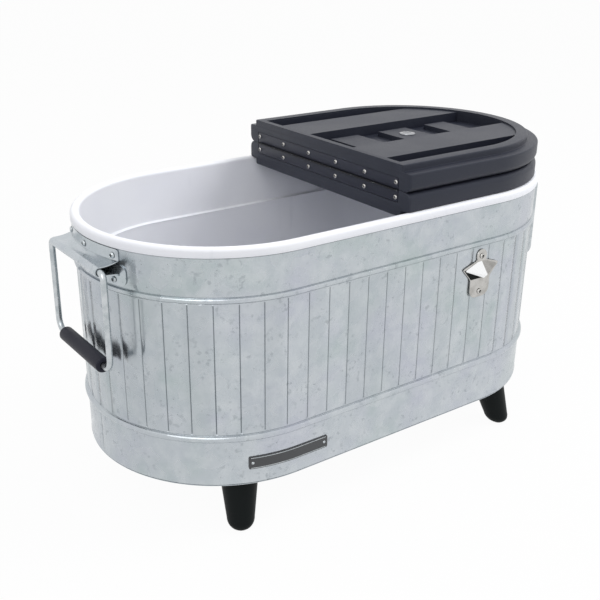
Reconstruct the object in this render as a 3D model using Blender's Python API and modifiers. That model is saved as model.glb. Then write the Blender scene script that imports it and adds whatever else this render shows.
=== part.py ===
# Oval party cooler: a ribbed galvanised tub on four feet with a white insulated liner, a lid of two
# hinged halves (stored folded on the right half), a bail handle at each end and a bottle opener.
# Metres, +Z up. X runs along the tub. The origin is on the floor under the middle of the overall box:
# the opener stands out at the front, so the tub's own middle, which the sizes below are measured
# from, lies a little behind it.

from math import asin, cos, pi, radians, sin, sqrt

import bmesh
import bpy
from mathutils import Matrix, Vector

# Clearances shared by all pieces
SEAT_GAP = 0.0003            # between two pieces that rest on each other
HOLE_GAP = 0.0002            # round a shank in its hole
OVERRUN = 0.004              # how far a cutter passes the surface that it cuts

# Tub shell: one galvanised sheet with two rolled beads and pressed staves between them
TUB_STRAIGHT = 0.350         # straight stretch between the two round ends
TUB_RADIUS = 0.1935          # outer half width at the top of the sheet
TUB_TAPER = 0.0022           # how much the half width shrinks down to the bottom
TUB_BOTTOM_Z = 0.0750        # lower edge of the sheet above the floor
TUB_BAND_TOP_Z = 0.3903      # where the sheet goes under the white lip
TUB_TUCK = 0.0070            # how far the sheet runs up inside the lip
SHEET = 0.0010
UPPER_BEAD_DROP = 0.0551
UPPER_BEAD_HALF = 0.0034
UPPER_BEAD_RISE = 0.0030
LOWER_BEAD_Z = 0.1440
LOWER_BEAD_HALF = 0.0046
LOWER_BEAD_RISE = 0.0046
STAVE_COUNT = 60
GROOVE_WIDTH = 0.0034
GROOVE_DEPTH = 0.0014
GROOVE_RUNOUT = 0.006        # length over which a groove reaches its depth

# White liner with its rolled lip
LIP_OVERHANG = 0.0024        # how far the lip stands out over the sheet
LIP_RISE = 0.0122            # from the lip's lower edge to its top
LIP_OUTER_ROUND = 0.0050
LIP_INNER_ROUND = 0.0045
LIP_SKIRT = 0.0014
LINER_INSET = 0.0105         # from the outside of the sheet to the inside of the liner
LINER_LEDGE_DROP = 0.0653
LINER_LEDGE_STEP = 0.0040
LINER_LEDGE_RISE = 0.0030
LINER_DRAFT = 0.0045         # inward lean of the wall from the ledge to the floor
LINER_FLOOR_Z = 0.1060
LINER_FLOOR_ROUND = 0.020
LINER_WALL = 0.0032

# Foam between liner and shell, and the bottom pan, which closes the sheet's lower edge
FOAM_SIDE_GAP = 0.0011
PAN_THICKNESS = 0.0012

# Feet, splayed outwards
FOOT_INSET = 0.0381          # in from the outside of the sheet
FOOT_ANGLE = 66.5            # degrees round the tub's end from its long middle line
FOOT_SPLAY_X = 0.0120
FOOT_SPLAY_Y = 0.0225
FOOT_TOP_RADIUS = 0.0265
FOOT_LOW_RADIUS = 0.0190
FOOT_ROUND = 0.0140
FOOT_PAD_RADIUS = 0.0090
FOOT_BOLT_RADIUS = 0.0030
FOOT_BOLT_HEAD_RADIUS = 0.0062
FOOT_BOLT_HEAD = 0.0030
FOOT_BOLT_DEPTH = 0.0250

# Drain in the floor
DRAIN_X = 0.1200
DRAIN_BORE = 0.0115
DRAIN_WALL = 0.0025
DRAIN_FLANGE_RADIUS = 0.0235
DRAIN_FLANGE = 0.0028
DRAIN_DROP = 0.0180          # how far the spout reaches below the pan
DRAIN_NUT_RADIUS = 0.0205
DRAIN_NUT = 0.0060
DRAIN_CAP_WALL = 0.0022
DRAIN_CAP_HEIGHT = 0.0110

# Bail handles and their brackets
ROD_RADIUS = 0.0041
ROD_STANDOFF = 0.0135        # rod centre beyond the sheet at the end of the tub
ROD_DROP = 0.0248
BAIL_HALF_WIDTH = 0.0800
BAIL_DROP = 0.1285
BAIL_TOP_BEND = 0.0085
BAIL_LOW_BEND = 0.0160
ROD_BUTT_GAP = 0.0010
GRIP_RADIUS = 0.0100
GRIP_HALF = 0.0600
GRIP_ROUND = 0.0025
GRIP_BORE_GAP = 0.0004
BRACKET_SHEET = 0.0012
BRACKET_TOP_DROP = 0.0013
BRACKET_FOLD_DROP = 0.0165   # where the upper flange turns out into the channel
BRACKET_TUCK_DROP = 0.0331   # where the channel comes back to the wall
BRACKET_LOW_DROP = 0.0457
BRACKET_CORNER = 0.0050
BRACKET_HALF = 0.0700
BRACKET_LOW_HALF = 0.0765
BRACKET_WRAP_GAP = 0.0007
RIVET_UPPER_DROP = 0.0098
RIVET_LOWER_DROP = 0.0408
RIVET_SPREAD = 0.0605
RIVET_RADIUS = 0.0036
RIVET_HEAD = 0.0022
RIVET_SHANK = 0.0016

# Bottle opener
OPENER_X = 0.1420
OPENER_TOP_DROP = 0.0688
OPENER_LOW_DROP = 0.1428
OPENER_SHEET = 0.0014
OPENER_UPPER_HALF = 0.0100
OPENER_LOWER_HALF = 0.0148
OPENER_HOOD_TOP_DROP = 0.0813
OPENER_LIP_DROP = 0.1023
OPENER_HOOD_HALF = 0.0210
OPENER_HOOD_DEPTH = 0.0187
OPENER_SCREW_UPPER_DROP = 0.0753
OPENER_SCREW_LOWER_DROP = 0.1288
OPENER_SCREW_RADIUS = 0.0042
OPENER_SCREW_HEAD = 0.0022
OPENER_SCREW_SHANK = 0.0017

# Lid: two equal halves, hinged on the split line
FLANGE_INSET = 0.0059        # the flange stands back from the lip's edge
FLANGE_THICKNESS = 0.0255
FLANGE_ROUND = 0.0095        # at the split line
FLANGE_LOW_ROUND = 0.0025    # where the flange meets the lip
FLANGE_CORNER = 0.0026
FLANGE_FALL = 0.0004         # the flange's underside slopes this much towards the plug
PLUG_CLEARANCE = 0.0090      # between the plug and the inside of the liner
PLUG_DEPTH = 0.0095
PLUG_ROUND = 0.0020
PLUG_CORNER = 0.0014
LID_SPLIT_GAP = 0.0004
RECESS_WALL = 0.0170         # width of the rim round the underside's recess
RIM_START = 0.0090           # the same at the straight face
BAR_DROP = 0.0025            # the two bars stand this far below the rim
BAR_INNER_Y = 0.0510
OUTER_TROUGH_WIDTH = 0.0342
TROUGH_DEPTH = 0.0180
BLOCK_DROP = 0.0105          # the blocks in the centre trough stand this far below the rim
BLOCK_HALF = 0.0360
BLOCK_SPANS = ((0.0460, 0.0975), (0.1385, 0.1938), (0.2347, 0.2770))
FILL_PLUG_RADIUS = 0.0110
FILL_PLUG_HEAD = 0.0014
FILL_PLUG_SHANK = 0.0070
FILL_PLUG_DEPTH = 0.0080

# Strip hinge on the straight faces
LEAF_SHEET = 0.0012
LEAF_TRIM = 0.0080           # the leaves end this far inside the plug's half width
LEAF_HEIGHT = 0.0165
LEAF_START = 0.0026
KNUCKLE_RADIUS = 0.0020
KNUCKLE_COUNT = 7
KNUCKLE_GAP = 0.0005
PIN_RADIUS = 0.0009
WEB_START = 0.0004
WEB_LOW = 0.0007
WEB_HIGH = 0.0034
WEB_INSET = 0.0005
HINGE_SCREW_RADIUS = 0.0033
HINGE_SCREW_HEAD = 0.0015
HINGE_SCREW_SHANK = 0.0013
HINGE_SCREW_LENGTH = 0.0090
HINGE_SCREW_Z = 0.0102
HINGE_SCREW_MARGIN = 0.00425 # from a leaf's end to its first screw
HINGE_SCREW_COUNT = 6

# Steps of the round forms
ARC_STEPS = 20
CURVE_STEPS = 4
BEAD_STEPS = 3
TURN_STEPS = 16
SMALL_STEPS = 8

# Places that follow from the sizes
HALF_STRAIGHT = TUB_STRAIGHT / 2
SHELL_TOP_Z = TUB_BAND_TOP_Z + TUB_TUCK
LIP_UNDER_Z = SHELL_TOP_Z + SEAT_GAP
LIP_TOP_Z = TUB_BAND_TOP_Z + LIP_RISE
UPPER_BEAD_Z = TUB_BAND_TOP_Z - UPPER_BEAD_DROP
LINER_LEDGE_Z = TUB_BAND_TOP_Z - LINER_LEDGE_DROP
ROD_Z = TUB_BAND_TOP_Z - ROD_DROP
BRACKET_TOP_Z = TUB_BAND_TOP_Z - BRACKET_TOP_DROP
BRACKET_FOLD_Z = TUB_BAND_TOP_Z - BRACKET_FOLD_DROP
BRACKET_TUCK_Z = TUB_BAND_TOP_Z - BRACKET_TUCK_DROP
BRACKET_LOW_Z = TUB_BAND_TOP_Z - BRACKET_LOW_DROP
RIVET_UPPER_Z = TUB_BAND_TOP_Z - RIVET_UPPER_DROP
RIVET_LOWER_Z = TUB_BAND_TOP_Z - RIVET_LOWER_DROP
OPENER_TOP_Z = TUB_BAND_TOP_Z - OPENER_TOP_DROP
OPENER_LOW_Z = TUB_BAND_TOP_Z - OPENER_LOW_DROP
OPENER_HOOD_TOP_Z = TUB_BAND_TOP_Z - OPENER_HOOD_TOP_DROP
OPENER_LIP_Z = TUB_BAND_TOP_Z - OPENER_LIP_DROP
OPENER_SCREW_UPPER_Z = TUB_BAND_TOP_Z - OPENER_SCREW_UPPER_DROP
OPENER_SCREW_LOWER_Z = TUB_BAND_TOP_Z - OPENER_SCREW_LOWER_DROP
SHELL_DEPTH = SHEET + GROOVE_DEPTH
PAN_TOP_Z = TUB_BOTTOM_Z - SEAT_GAP
PAN_Z = PAN_TOP_Z - PAN_THICKNESS
FOOT_X = HALF_STRAIGHT + (TUB_RADIUS - FOOT_INSET) * cos(radians(FOOT_ANGLE))
FOOT_Y = (TUB_RADIUS - FOOT_INSET) * sin(radians(FOOT_ANGLE))
LIP_RADIUS = TUB_RADIUS + LIP_OVERHANG
LINER_TOP_RADIUS = TUB_RADIUS - LINER_INSET
LEDGE_RADIUS = LINER_TOP_RADIUS - LINER_LEDGE_STEP
FLOOR_RADIUS = LEDGE_RADIUS - LINER_DRAFT
FLANGE_RADIUS = LIP_RADIUS - FLANGE_INSET
PLUG_RADIUS = LINER_TOP_RADIUS - PLUG_CLEARANCE
PLUG_INSIDE = PLUG_RADIUS - RECESS_WALL
BAR_OUTER_Y = PLUG_INSIDE - OUTER_TROUGH_WIDTH
LEAF_HALF = PLUG_RADIUS - LEAF_TRIM
HINGE_SCREW_PITCH = 2 * (LEAF_HALF - HINGE_SCREW_MARGIN) / (HINGE_SCREW_COUNT - 1)
HINGE_Z = LIP_TOP_Z + SEAT_GAP + FLANGE_THICKNESS + LID_SPLIT_GAP / 2
FACE_X = 2 * SEAT_GAP + HINGE_SCREW_HEAD
ROD_X = HALF_STRAIGHT + TUB_RADIUS + ROD_STANDOFF
GRIP_Z = ROD_Z - BAIL_DROP
WRAP_RADIUS = ROD_RADIUS + BRACKET_WRAP_GAP + BRACKET_SHEET / 2
OPENER_BACK = TUB_RADIUS + SEAT_GAP
OPENER_REACH = OPENER_BACK + OPENER_SHEET + OPENER_HOOD_DEPTH
BOX_SHIFT = (OPENER_REACH - LIP_RADIUS) / 2

# Shares of a rounded or folded form
DOME_SHARES = ((0.0, 1.0), (0.72, 0.72))
CORNER_SHARES = ((0.0, 1.0), (0.134, 0.5), (0.5, 0.134), (1.0, 0.0))
BRACKET_COLUMN_SHARES = (-1.0, -0.8, -0.6, -0.4, -0.2, 0.0, 0.2, 0.4, 0.6, 0.8, 1.0)
HOOD_COLUMN_SHARES = (-1.0, -0.72, -0.36, 0.0, 0.36, 0.72, 1.0)
HOOD_ROW_SHARES = ((0.0, 0.0), (0.25, 0.30), (0.55, 0.68), (0.85, 0.95), (1.0, 1.0))
HOOD_SPREAD_SHARE = 0.45     # hood half width at its root, of its half width at the lip
RIVET_SEAT_SHARE = 0.7       # how deep a shank reaches into the sheet, groove included
OPENER_SEAT_SHARE = 0.9      # the sheet leans away from the flat back of the opener


def clear_scene():
    for item in list(bpy.data.objects):
        bpy.data.objects.remove(item, do_unlink=True)
    for item in list(bpy.data.collections):
        bpy.data.collections.remove(item)


def new_collection(name):
    collection = bpy.data.collections.new(name)
    bpy.context.scene.collection.children.link(collection)
    return collection


clear_scene()
PARTS = new_collection("patio_cooler")
CUTTERS = new_collection("cutters")
GUIDES = new_collection("joint_axes")
MIDDLE = bpy.data.objects.new("tub_middle", None)
GUIDES.objects.link(MIDDLE)
MIDDLE.location = (0, BOX_SHIFT, 0)


def material(name, colour, roughness, metallic):
    existing = bpy.data.materials.get(name)
    if existing:
        return existing
    result = bpy.data.materials.new(name)
    result.use_nodes = True
    shader = result.node_tree.nodes["Principled BSDF"]
    shader.inputs["Base Color"].default_value = (*colour, 1.0)
    shader.inputs["Roughness"].default_value = roughness
    shader.inputs["Metallic"].default_value = metallic
    result.diffuse_color = (*colour, 1.0)
    return result


def galvanised():
    return material("galvanised_sheet", (0.62, 0.66, 0.68), 0.38, 0.9)


def zinc_wire():
    return material("zinc_wire", (0.66, 0.68, 0.69), 0.32, 0.95)


def stainless():
    return material("stainless_steel", (0.72, 0.71, 0.69), 0.24, 1.0)


def white_plastic():
    return material("white_plastic", (0.82, 0.83, 0.85), 0.42, 0.0)


def black_plastic():
    return material("black_plastic", (0.028, 0.029, 0.034), 0.5, 0.0)


def foot_plastic():
    return material("foot_plastic", (0.015, 0.016, 0.016), 0.45, 0.0)


def foam():
    return material("foam", (0.80, 0.74, 0.55), 0.9, 0.0)


def grip_rubber():
    return material("grip_plastic", (0.018, 0.018, 0.021), 0.4, 0.0)


# Helpers that make objects

def link(name, mesh, look, parent):
    thing = bpy.data.objects.new(name, mesh)
    PARTS.objects.link(thing)
    if look:
        thing.data.materials.clear()
        thing.data.materials.append(look)
    thing.parent = parent or MIDDLE
    return thing


def place_of(parent):
    """Where an empty stands, measured from the tub's middle."""
    place = Vector((0, 0, 0))
    while parent and parent != MIDDLE:
        place += parent.location
        parent = parent.parent
    return place


def finish(name, shape, look, parent=None):
    """Turn a bmesh, measured from the tub's middle, into a sub-part whose origin is its parent's."""
    bmesh.ops.recalc_face_normals(shape, faces=shape.faces)
    bmesh.ops.translate(shape, verts=shape.verts, vec=-place_of(parent))
    mesh = bpy.data.meshes.new(name)
    shape.to_mesh(mesh)
    shape.free()
    mesh.shade_smooth()
    mesh.set_sharp_from_angle(angle=radians(35))
    return link(name, mesh, look, parent)


def cutter(name, shape):
    bmesh.ops.recalc_face_normals(shape, faces=shape.faces)
    mesh = bpy.data.meshes.new(name)
    shape.to_mesh(mesh)
    shape.free()
    thing = bpy.data.objects.new(name, mesh)
    CUTTERS.objects.link(thing)
    thing.parent = MIDDLE
    thing.hide_render = True
    thing.display_type = "WIRE"
    return thing


def boolean(target, tool, operation="DIFFERENCE"):
    change = target.modifiers.new(tool.name, "BOOLEAN")
    change.operation = operation
    change.solver = "EXACT"
    change.object = tool


def axis_empty(name, place, parent=None):
    empty = bpy.data.objects.new(name, None)
    GUIDES.objects.link(empty)
    empty.parent = parent or MIDDLE
    empty.location = Vector(place) - place_of(parent)
    empty.empty_display_size = GRIP_HALF
    empty.hide_render = True
    return empty


def bridge_unlike(shape, few, many):
    """Faces between a ring and one that has three points for each of its points."""
    for i, corner in enumerate(few):
        left, centre, right = many[3 * i:3 * i + 3]
        shape.faces.new((corner, left, centre))
        shape.faces.new((corner, centre, right))
        shape.faces.new((corner, right, many[(3 * i + 3) % len(many)], few[(i + 1) % len(few)]))


def loft(rings, closed=False):
    """A skin through rings of points, capped at both ends or closed on itself."""
    shape = bmesh.new()
    rows = [[shape.verts.new(point) for point in ring] for ring in rings]
    pairs = list(zip(rows, rows[1:]))
    if closed:
        pairs.append((rows[-1], rows[0]))
    for low, high in pairs:
        if len(low) != len(high):
            bridge_unlike(shape, *sorted((low, high), key=len))
            continue
        count = len(low)
        for i in range(count):
            j = (i + 1) % count
            shape.faces.new((low[i], low[j], high[j], high[i]))
    if not closed:
        shape.faces.new(rows[0])
        shape.faces.new(rows[-1])
    return shape


def sheet_grid(rows):
    """An open surface through rows of points, for Solidify to thicken."""
    shape = bmesh.new()
    lines = [[shape.verts.new(point) for point in row] for row in rows]
    for low, high in zip(lines, lines[1:]):
        for i in range(len(low) - 1):
            shape.faces.new((low[i], low[i + 1], high[i + 1], high[i]))
    return shape


def thicken(thing, thickness):
    wall = thing.modifiers.new("sheet", "SOLIDIFY")
    wall.thickness = thickness
    wall.offset = 0


def prism(points, low, high):
    """An upright prism on a flat outline."""
    shape = bmesh.new()
    base = shape.faces.new([shape.verts.new((x, y, low)) for x, y in points])
    top = bmesh.ops.extrude_face_region(shape, geom=[base])
    lifted = [item for item in top["geom"] if isinstance(item, bmesh.types.BMVert)]
    bmesh.ops.translate(shape, verts=lifted, vec=(0, 0, high - low))
    return shape


def block(low, high):
    shape = bmesh.new()
    bmesh.ops.create_cube(shape, size=1)
    low, high = Vector(low), Vector(high)
    bmesh.ops.scale(shape, verts=shape.verts, vec=high - low)
    bmesh.ops.translate(shape, verts=shape.verts, vec=(low + high) / 2)
    return shape


def rod(radius, start, end, steps):
    """A capped cylinder between two points."""
    start, end = Vector(start), Vector(end)
    shape = bmesh.new()
    bmesh.ops.create_cone(shape, cap_ends=True, segments=steps, radius1=radius, radius2=radius,
                          depth=(end - start).length)
    turn = (end - start).to_track_quat("Z", "Y").to_matrix().to_4x4()
    bmesh.ops.transform(shape, verts=shape.verts, matrix=Matrix.Translation((start + end) / 2) @ turn)
    return shape


def turned(name, profile, place, axis, steps, look, parent=None, closed=False):
    """A profile of (radius, height), from its top down, turned about an axis with a Screw."""
    mesh = bpy.data.meshes.new(name)
    count = len(profile)
    edges = [(i, i + 1) for i in range(count - 1)]
    if closed:
        edges.append((count - 1, 0))
    mesh.from_pydata([(radius, 0, height) for radius, height in profile], edges, [])
    thing = link(name, mesh, look, parent)
    thing.location = Vector(place) - place_of(parent)
    thing.rotation_euler = Vector(axis).to_track_quat("Z", "Y").to_euler()
    turn = thing.modifiers.new("turn", "SCREW")
    turn.steps = steps
    turn.render_steps = steps
    turn.use_merge_vertices = True
    turn.merge_threshold = 0.00001
    turn.use_smooth_shade = True
    return thing


def fastener_profile(radius, head, shank, length):
    """Half outline of a domed head on its shank, from the crown down, seated at height 0."""
    dome = [(radius * out, head * up) for out, up in DOME_SHARES]
    return dome + [(radius, 0), (shank, 0), (shank, -length), (0, -length)]


# Outlines of the tub

def wall_radius(z):
    """Outer half width of the sheet at a height."""
    return TUB_RADIUS - TUB_TAPER * (TUB_BAND_TOP_Z - z) / (TUB_BAND_TOP_Z - TUB_BOTTOM_Z)


def station(distance):
    """Centre and direction of the outline's normal, at a distance along the sheet from the middle
    of the near side."""
    arc = pi * TUB_RADIUS
    total = 2 * (TUB_STRAIGHT + arc)
    distance %= total
    if distance < HALF_STRAIGHT:
        return distance, -pi / 2
    distance -= HALF_STRAIGHT
    if distance < arc:
        return HALF_STRAIGHT, distance / TUB_RADIUS - pi / 2
    distance -= arc
    if distance < TUB_STRAIGHT:
        return HALF_STRAIGHT - distance, pi / 2
    distance -= TUB_STRAIGHT
    if distance < arc:
        return -HALF_STRAIGHT, distance / TUB_RADIUS + pi / 2
    return distance - arc - HALF_STRAIGHT, -pi / 2


def oval_ring(radius, z):
    """Points of the tub's outline at a half width."""
    points = []
    for side in (1, -1):
        for i in range(ARC_STEPS + 1):
            angle = pi * i / ARC_STEPS - pi / 2
            points.append((side * (HALF_STRAIGHT + radius * cos(angle)), side * radius * sin(angle), z))
    return points


def wall_point(y, z, out, side):
    """A point on the tub's round end, at a distance out from the sheet."""
    radius = wall_radius(z) + out
    return Vector((side * (HALF_STRAIGHT + sqrt(radius ** 2 - y ** 2)), y, z))


def wall_normal(y, z, side):
    angle = asin(y / wall_radius(z))
    return Vector((side * cos(angle), sin(angle), 0))


# The ribbed shell

def stave_ring(rise, z, groove=0):
    """One height of the sheet, with a point at each groove, or the three of its V where it runs."""
    pitch = 2 * (TUB_STRAIGHT + pi * TUB_RADIUS) / STAVE_COUNT
    valley = ((-GROOVE_WIDTH / 2, 0), (0, groove), (GROOVE_WIDTH / 2, 0))
    points = []
    for i in range(STAVE_COUNT):
        for shift, drop in valley if groove else valley[1:2]:
            centre, angle = station(i * pitch + shift)
            radius = wall_radius(z) + rise - drop
            points.append((centre + radius * cos(angle), radius * sin(angle), z))
    return points


def bead_rings(z, half, rise):
    """The round bulge of a rolled bead, from its upper edge to its lower edge."""
    rings = []
    for i in range(BEAD_STEPS + 1):
        angle = pi * i / BEAD_STEPS
        rings.append(stave_ring(rise * sin(angle), z + half * cos(angle)))
    return rings


def build_shell():
    groove_top = UPPER_BEAD_Z - UPPER_BEAD_HALF - GROOVE_RUNOUT
    groove_foot = LOWER_BEAD_Z + LOWER_BEAD_HALF + GROOVE_RUNOUT
    rings = [stave_ring(0, SHELL_TOP_Z)]
    rings += bead_rings(UPPER_BEAD_Z, UPPER_BEAD_HALF, UPPER_BEAD_RISE)
    rings += [stave_ring(0, groove_top, GROOVE_DEPTH), stave_ring(0, groove_foot, GROOVE_DEPTH)]
    rings += bead_rings(LOWER_BEAD_Z, LOWER_BEAD_HALF, LOWER_BEAD_RISE)
    rings += [stave_ring(0, TUB_BOTTOM_Z)]
    rings += [stave_ring(-SHELL_DEPTH, TUB_BOTTOM_Z), stave_ring(-SHELL_DEPTH, SHELL_TOP_Z)]
    return finish("tub_shell", loft(rings, closed=True), galvanised())


# Liner, foam and pan

def quarter(centre_radius, centre_z, size, start, end):
    """Pairs of radius and height along a rounded corner, between two angles in degrees."""
    pairs = []
    for i in range(CURVE_STEPS + 1):
        angle = radians(start + (end - start) * i / CURVE_STEPS)
        pairs.append((centre_radius + size * cos(angle), centre_z + size * sin(angle)))
    return pairs


def liner_outside(extra):
    """The liner's hidden side, from under the lip to the floor, at a distance out from it."""
    wall = LINER_WALL + extra
    return [
        (LINER_TOP_RADIUS + wall, LINER_LEDGE_Z + LINER_LEDGE_RISE),
        (LEDGE_RADIUS + wall, LINER_LEDGE_Z - wall),
        (FLOOR_RADIUS + wall, LINER_FLOOR_Z + LINER_FLOOR_ROUND),
        (FLOOR_RADIUS - LINER_FLOOR_ROUND, LINER_FLOOR_Z - wall),
    ]


def build_liner():
    floor = FLOOR_RADIUS - LINER_FLOOR_ROUND
    pairs = quarter(floor, LINER_FLOOR_Z + LINER_FLOOR_ROUND, LINER_FLOOR_ROUND, -90, 0)
    pairs += [(LEDGE_RADIUS, LINER_LEDGE_Z), (LINER_TOP_RADIUS, LINER_LEDGE_Z + LINER_LEDGE_RISE)]
    pairs += quarter(LINER_TOP_RADIUS + LIP_INNER_ROUND, LIP_TOP_Z - LIP_INNER_ROUND,
                     LIP_INNER_ROUND, 180, 90)
    pairs += quarter(LIP_RADIUS - LIP_OUTER_ROUND, LIP_TOP_Z - LIP_OUTER_ROUND, LIP_OUTER_ROUND, 90, 0)
    pairs += [(LIP_RADIUS, TUB_BAND_TOP_Z), (LIP_RADIUS - LIP_SKIRT, TUB_BAND_TOP_Z)]
    pairs += [(LIP_RADIUS - LIP_SKIRT, LIP_UNDER_Z), (LINER_TOP_RADIUS + LINER_WALL, LIP_UNDER_Z)]
    pairs += liner_outside(0)
    shape = loft([oval_ring(radius, z) for radius, z in pairs])
    return finish("liner", shape, white_plastic())


def build_foam():
    inside = [(LINER_TOP_RADIUS + LINER_WALL + SEAT_GAP, LIP_UNDER_Z - SEAT_GAP)]
    inside += liner_outside(SEAT_GAP)
    top_z = LIP_UNDER_Z - SEAT_GAP
    low_z = PAN_TOP_Z + SEAT_GAP
    shift = SHELL_DEPTH + FOAM_SIDE_GAP
    pairs = list(reversed(inside))
    pairs += [(wall_radius(top_z) - shift, top_z), (wall_radius(low_z) - shift, low_z)]
    shape = loft([oval_ring(radius, z) for radius, z in pairs])
    return finish("insulation", shape, foam())


def build_pan():
    radius = wall_radius(TUB_BOTTOM_Z)
    shape = loft([oval_ring(radius, PAN_Z), oval_ring(radius, PAN_TOP_Z)])
    return finish("bottom_pan", shape, galvanised())


# Feet and their bolts

def foot_rings(side_x, side_y):
    """Rings of a tapered foot with a rounded end, from the top down, on an axis that leans out."""
    top = PAN_Z - SEAT_GAP
    pairs = [(FOOT_TOP_RADIUS, top)]
    corner = FOOT_LOW_RADIUS - FOOT_ROUND
    for i in range(CURVE_STEPS + 1):
        angle = pi / 2 * i / CURVE_STEPS
        radius = corner + FOOT_ROUND * cos(angle)
        if radius > FOOT_PAD_RADIUS:
            pairs.append((radius, FOOT_ROUND * (1 - sin(angle))))
    rings = []
    for radius, z in pairs + [(FOOT_PAD_RADIUS, 0)]:
        lean = 1 - z / top
        x = side_x * (FOOT_X + FOOT_SPLAY_X * lean)
        y = side_y * (FOOT_Y + FOOT_SPLAY_Y * lean)
        angles = [2 * pi * i / TURN_STEPS for i in range(TURN_STEPS)]
        rings.append([(x + radius * cos(angle), y + radius * sin(angle), z) for angle in angles])
    return rings


def build_feet(pan, insulation):
    corners = {"front_left": (-1, -1), "front_right": (1, -1), "rear_left": (-1, 1), "rear_right": (1, 1)}
    for label, (side_x, side_y) in corners.items():
        x, y = side_x * FOOT_X, side_y * FOOT_Y
        foot = finish("foot_" + label, loft(foot_rings(side_x, side_y)), foot_plastic())
        seat = PAN_TOP_Z + SEAT_GAP
        length = seat - PAN_Z + FOOT_BOLT_DEPTH
        profile = fastener_profile(FOOT_BOLT_HEAD_RADIUS, FOOT_BOLT_HEAD, FOOT_BOLT_RADIUS, length)
        turned("foot_bolt_" + label, profile, (x, y, seat), (0, 0, 1), SMALL_STEPS, zinc_wire())
        hole = cutter("bolt_hole_" + label, rod(FOOT_BOLT_RADIUS + HOLE_GAP,
                      (x, y, seat - length - SEAT_GAP), (x, y, seat + OVERRUN), SMALL_STEPS))
        boolean(foot, hole)
        boolean(pan, hole)
        pocket = cutter("bolt_pocket_" + label, rod(FOOT_BOLT_HEAD_RADIUS + SEAT_GAP,
                        (x, y, PAN_TOP_Z - OVERRUN), (x, y, seat + FOOT_BOLT_HEAD + SEAT_GAP), SMALL_STEPS))
        boolean(insulation, pocket)


# Drain: flanged spout through the floor, nut under the pan, screw cap

def build_drain(liner, insulation, pan, parent):
    outer = DRAIN_BORE + DRAIN_WALL
    centre = (DRAIN_X, 0, 0)
    top = LINER_FLOOR_Z + SEAT_GAP + DRAIN_FLANGE
    low = PAN_Z - DRAIN_DROP
    spout = [(DRAIN_BORE, top), (DRAIN_FLANGE_RADIUS, top), (DRAIN_FLANGE_RADIUS, LINER_FLOOR_Z + SEAT_GAP),
             (outer, LINER_FLOOR_Z + SEAT_GAP), (outer, low), (DRAIN_BORE, low)]
    turned("drain_spout", spout, centre, (0, 0, 1), TURN_STEPS, white_plastic(), closed=True)
    nut_top = PAN_Z - SEAT_GAP
    inner = outer + HOLE_GAP + SEAT_GAP
    nut = [(inner, nut_top), (DRAIN_NUT_RADIUS, nut_top), (DRAIN_NUT_RADIUS, nut_top - DRAIN_NUT),
           (inner, nut_top - DRAIN_NUT)]
    turned("drain_nut", nut, centre, (0, 0, 1), TURN_STEPS, black_plastic(), closed=True)
    cap_inner = inner
    cap_outer = cap_inner + DRAIN_CAP_WALL
    cap_floor = low - SEAT_GAP
    cap_low = cap_floor - DRAIN_CAP_WALL
    cap_top = cap_low + DRAIN_CAP_HEIGHT
    cap = [(cap_inner, cap_top), (cap_outer, cap_top), (cap_outer, cap_low), (0, cap_low), (0, cap_floor),
           (cap_inner, cap_floor)]
    turned("drain_cap", cap, centre, (0, 0, 1), TURN_STEPS, black_plastic(), parent, closed=True)
    hole = cutter("drain_hole", rod(outer + HOLE_GAP + SEAT_GAP, (DRAIN_X, 0, low),
                                    (DRAIN_X, 0, LINER_FLOOR_Z + OVERRUN), TURN_STEPS))
    for target in (liner, insulation, pan):
        boolean(target, hole)


# End handles

def bail_path(side):
    """Centre line of the rod: its two ends butt together inside the grip."""
    low = ROD_Z - BAIL_DROP
    points = [(ROD_BUTT_GAP / 2, low)]
    corners = ((1, low, BAIL_LOW_BEND, -90), (1, ROD_Z, BAIL_TOP_BEND, 0),
               (-1, ROD_Z, BAIL_TOP_BEND, 90), (-1, low, BAIL_LOW_BEND, 180))
    for hand, z, bend, start in corners:
        centre_y = hand * (BAIL_HALF_WIDTH - bend)
        centre_z = z + bend if z == low else z - bend
        for i in range(CURVE_STEPS + 1):
            angle = radians(start + 90 * i / CURVE_STEPS)
            points.append((centre_y + bend * cos(angle), centre_z + bend * sin(angle)))
    points.append((-ROD_BUTT_GAP / 2, low))
    return [Vector((side * ROD_X, y, z)) for y, z in points]


def build_bail(label, side, parent):
    curve = bpy.data.curves.new("bail_" + label, "CURVE")
    curve.dimensions = "3D"
    curve.bevel_depth = ROD_RADIUS
    curve.bevel_resolution = 2
    curve.use_fill_caps = True
    points = bail_path(side)
    line = curve.splines.new("POLY")
    line.points.add(len(points) - 1)
    for spot, point in zip(line.points, points):
        spot.co = (*(point - place_of(parent)), 1)
    return link("bail_" + label, curve, zinc_wire(), parent)


def build_grip(label, side, parent):
    bore = ROD_RADIUS + GRIP_BORE_GAP
    half = GRIP_HALF
    edge = GRIP_RADIUS - GRIP_ROUND
    profile = [(bore, half), (edge, half), (GRIP_RADIUS, half - GRIP_ROUND),
               (GRIP_RADIUS, -half + GRIP_ROUND), (edge, -half), (bore, -half)]
    return turned("grip_" + label, profile, (side * ROD_X, 0, GRIP_Z), (0, 1, 0), TURN_STEPS,
                  grip_rubber(), parent, closed=True)


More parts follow.
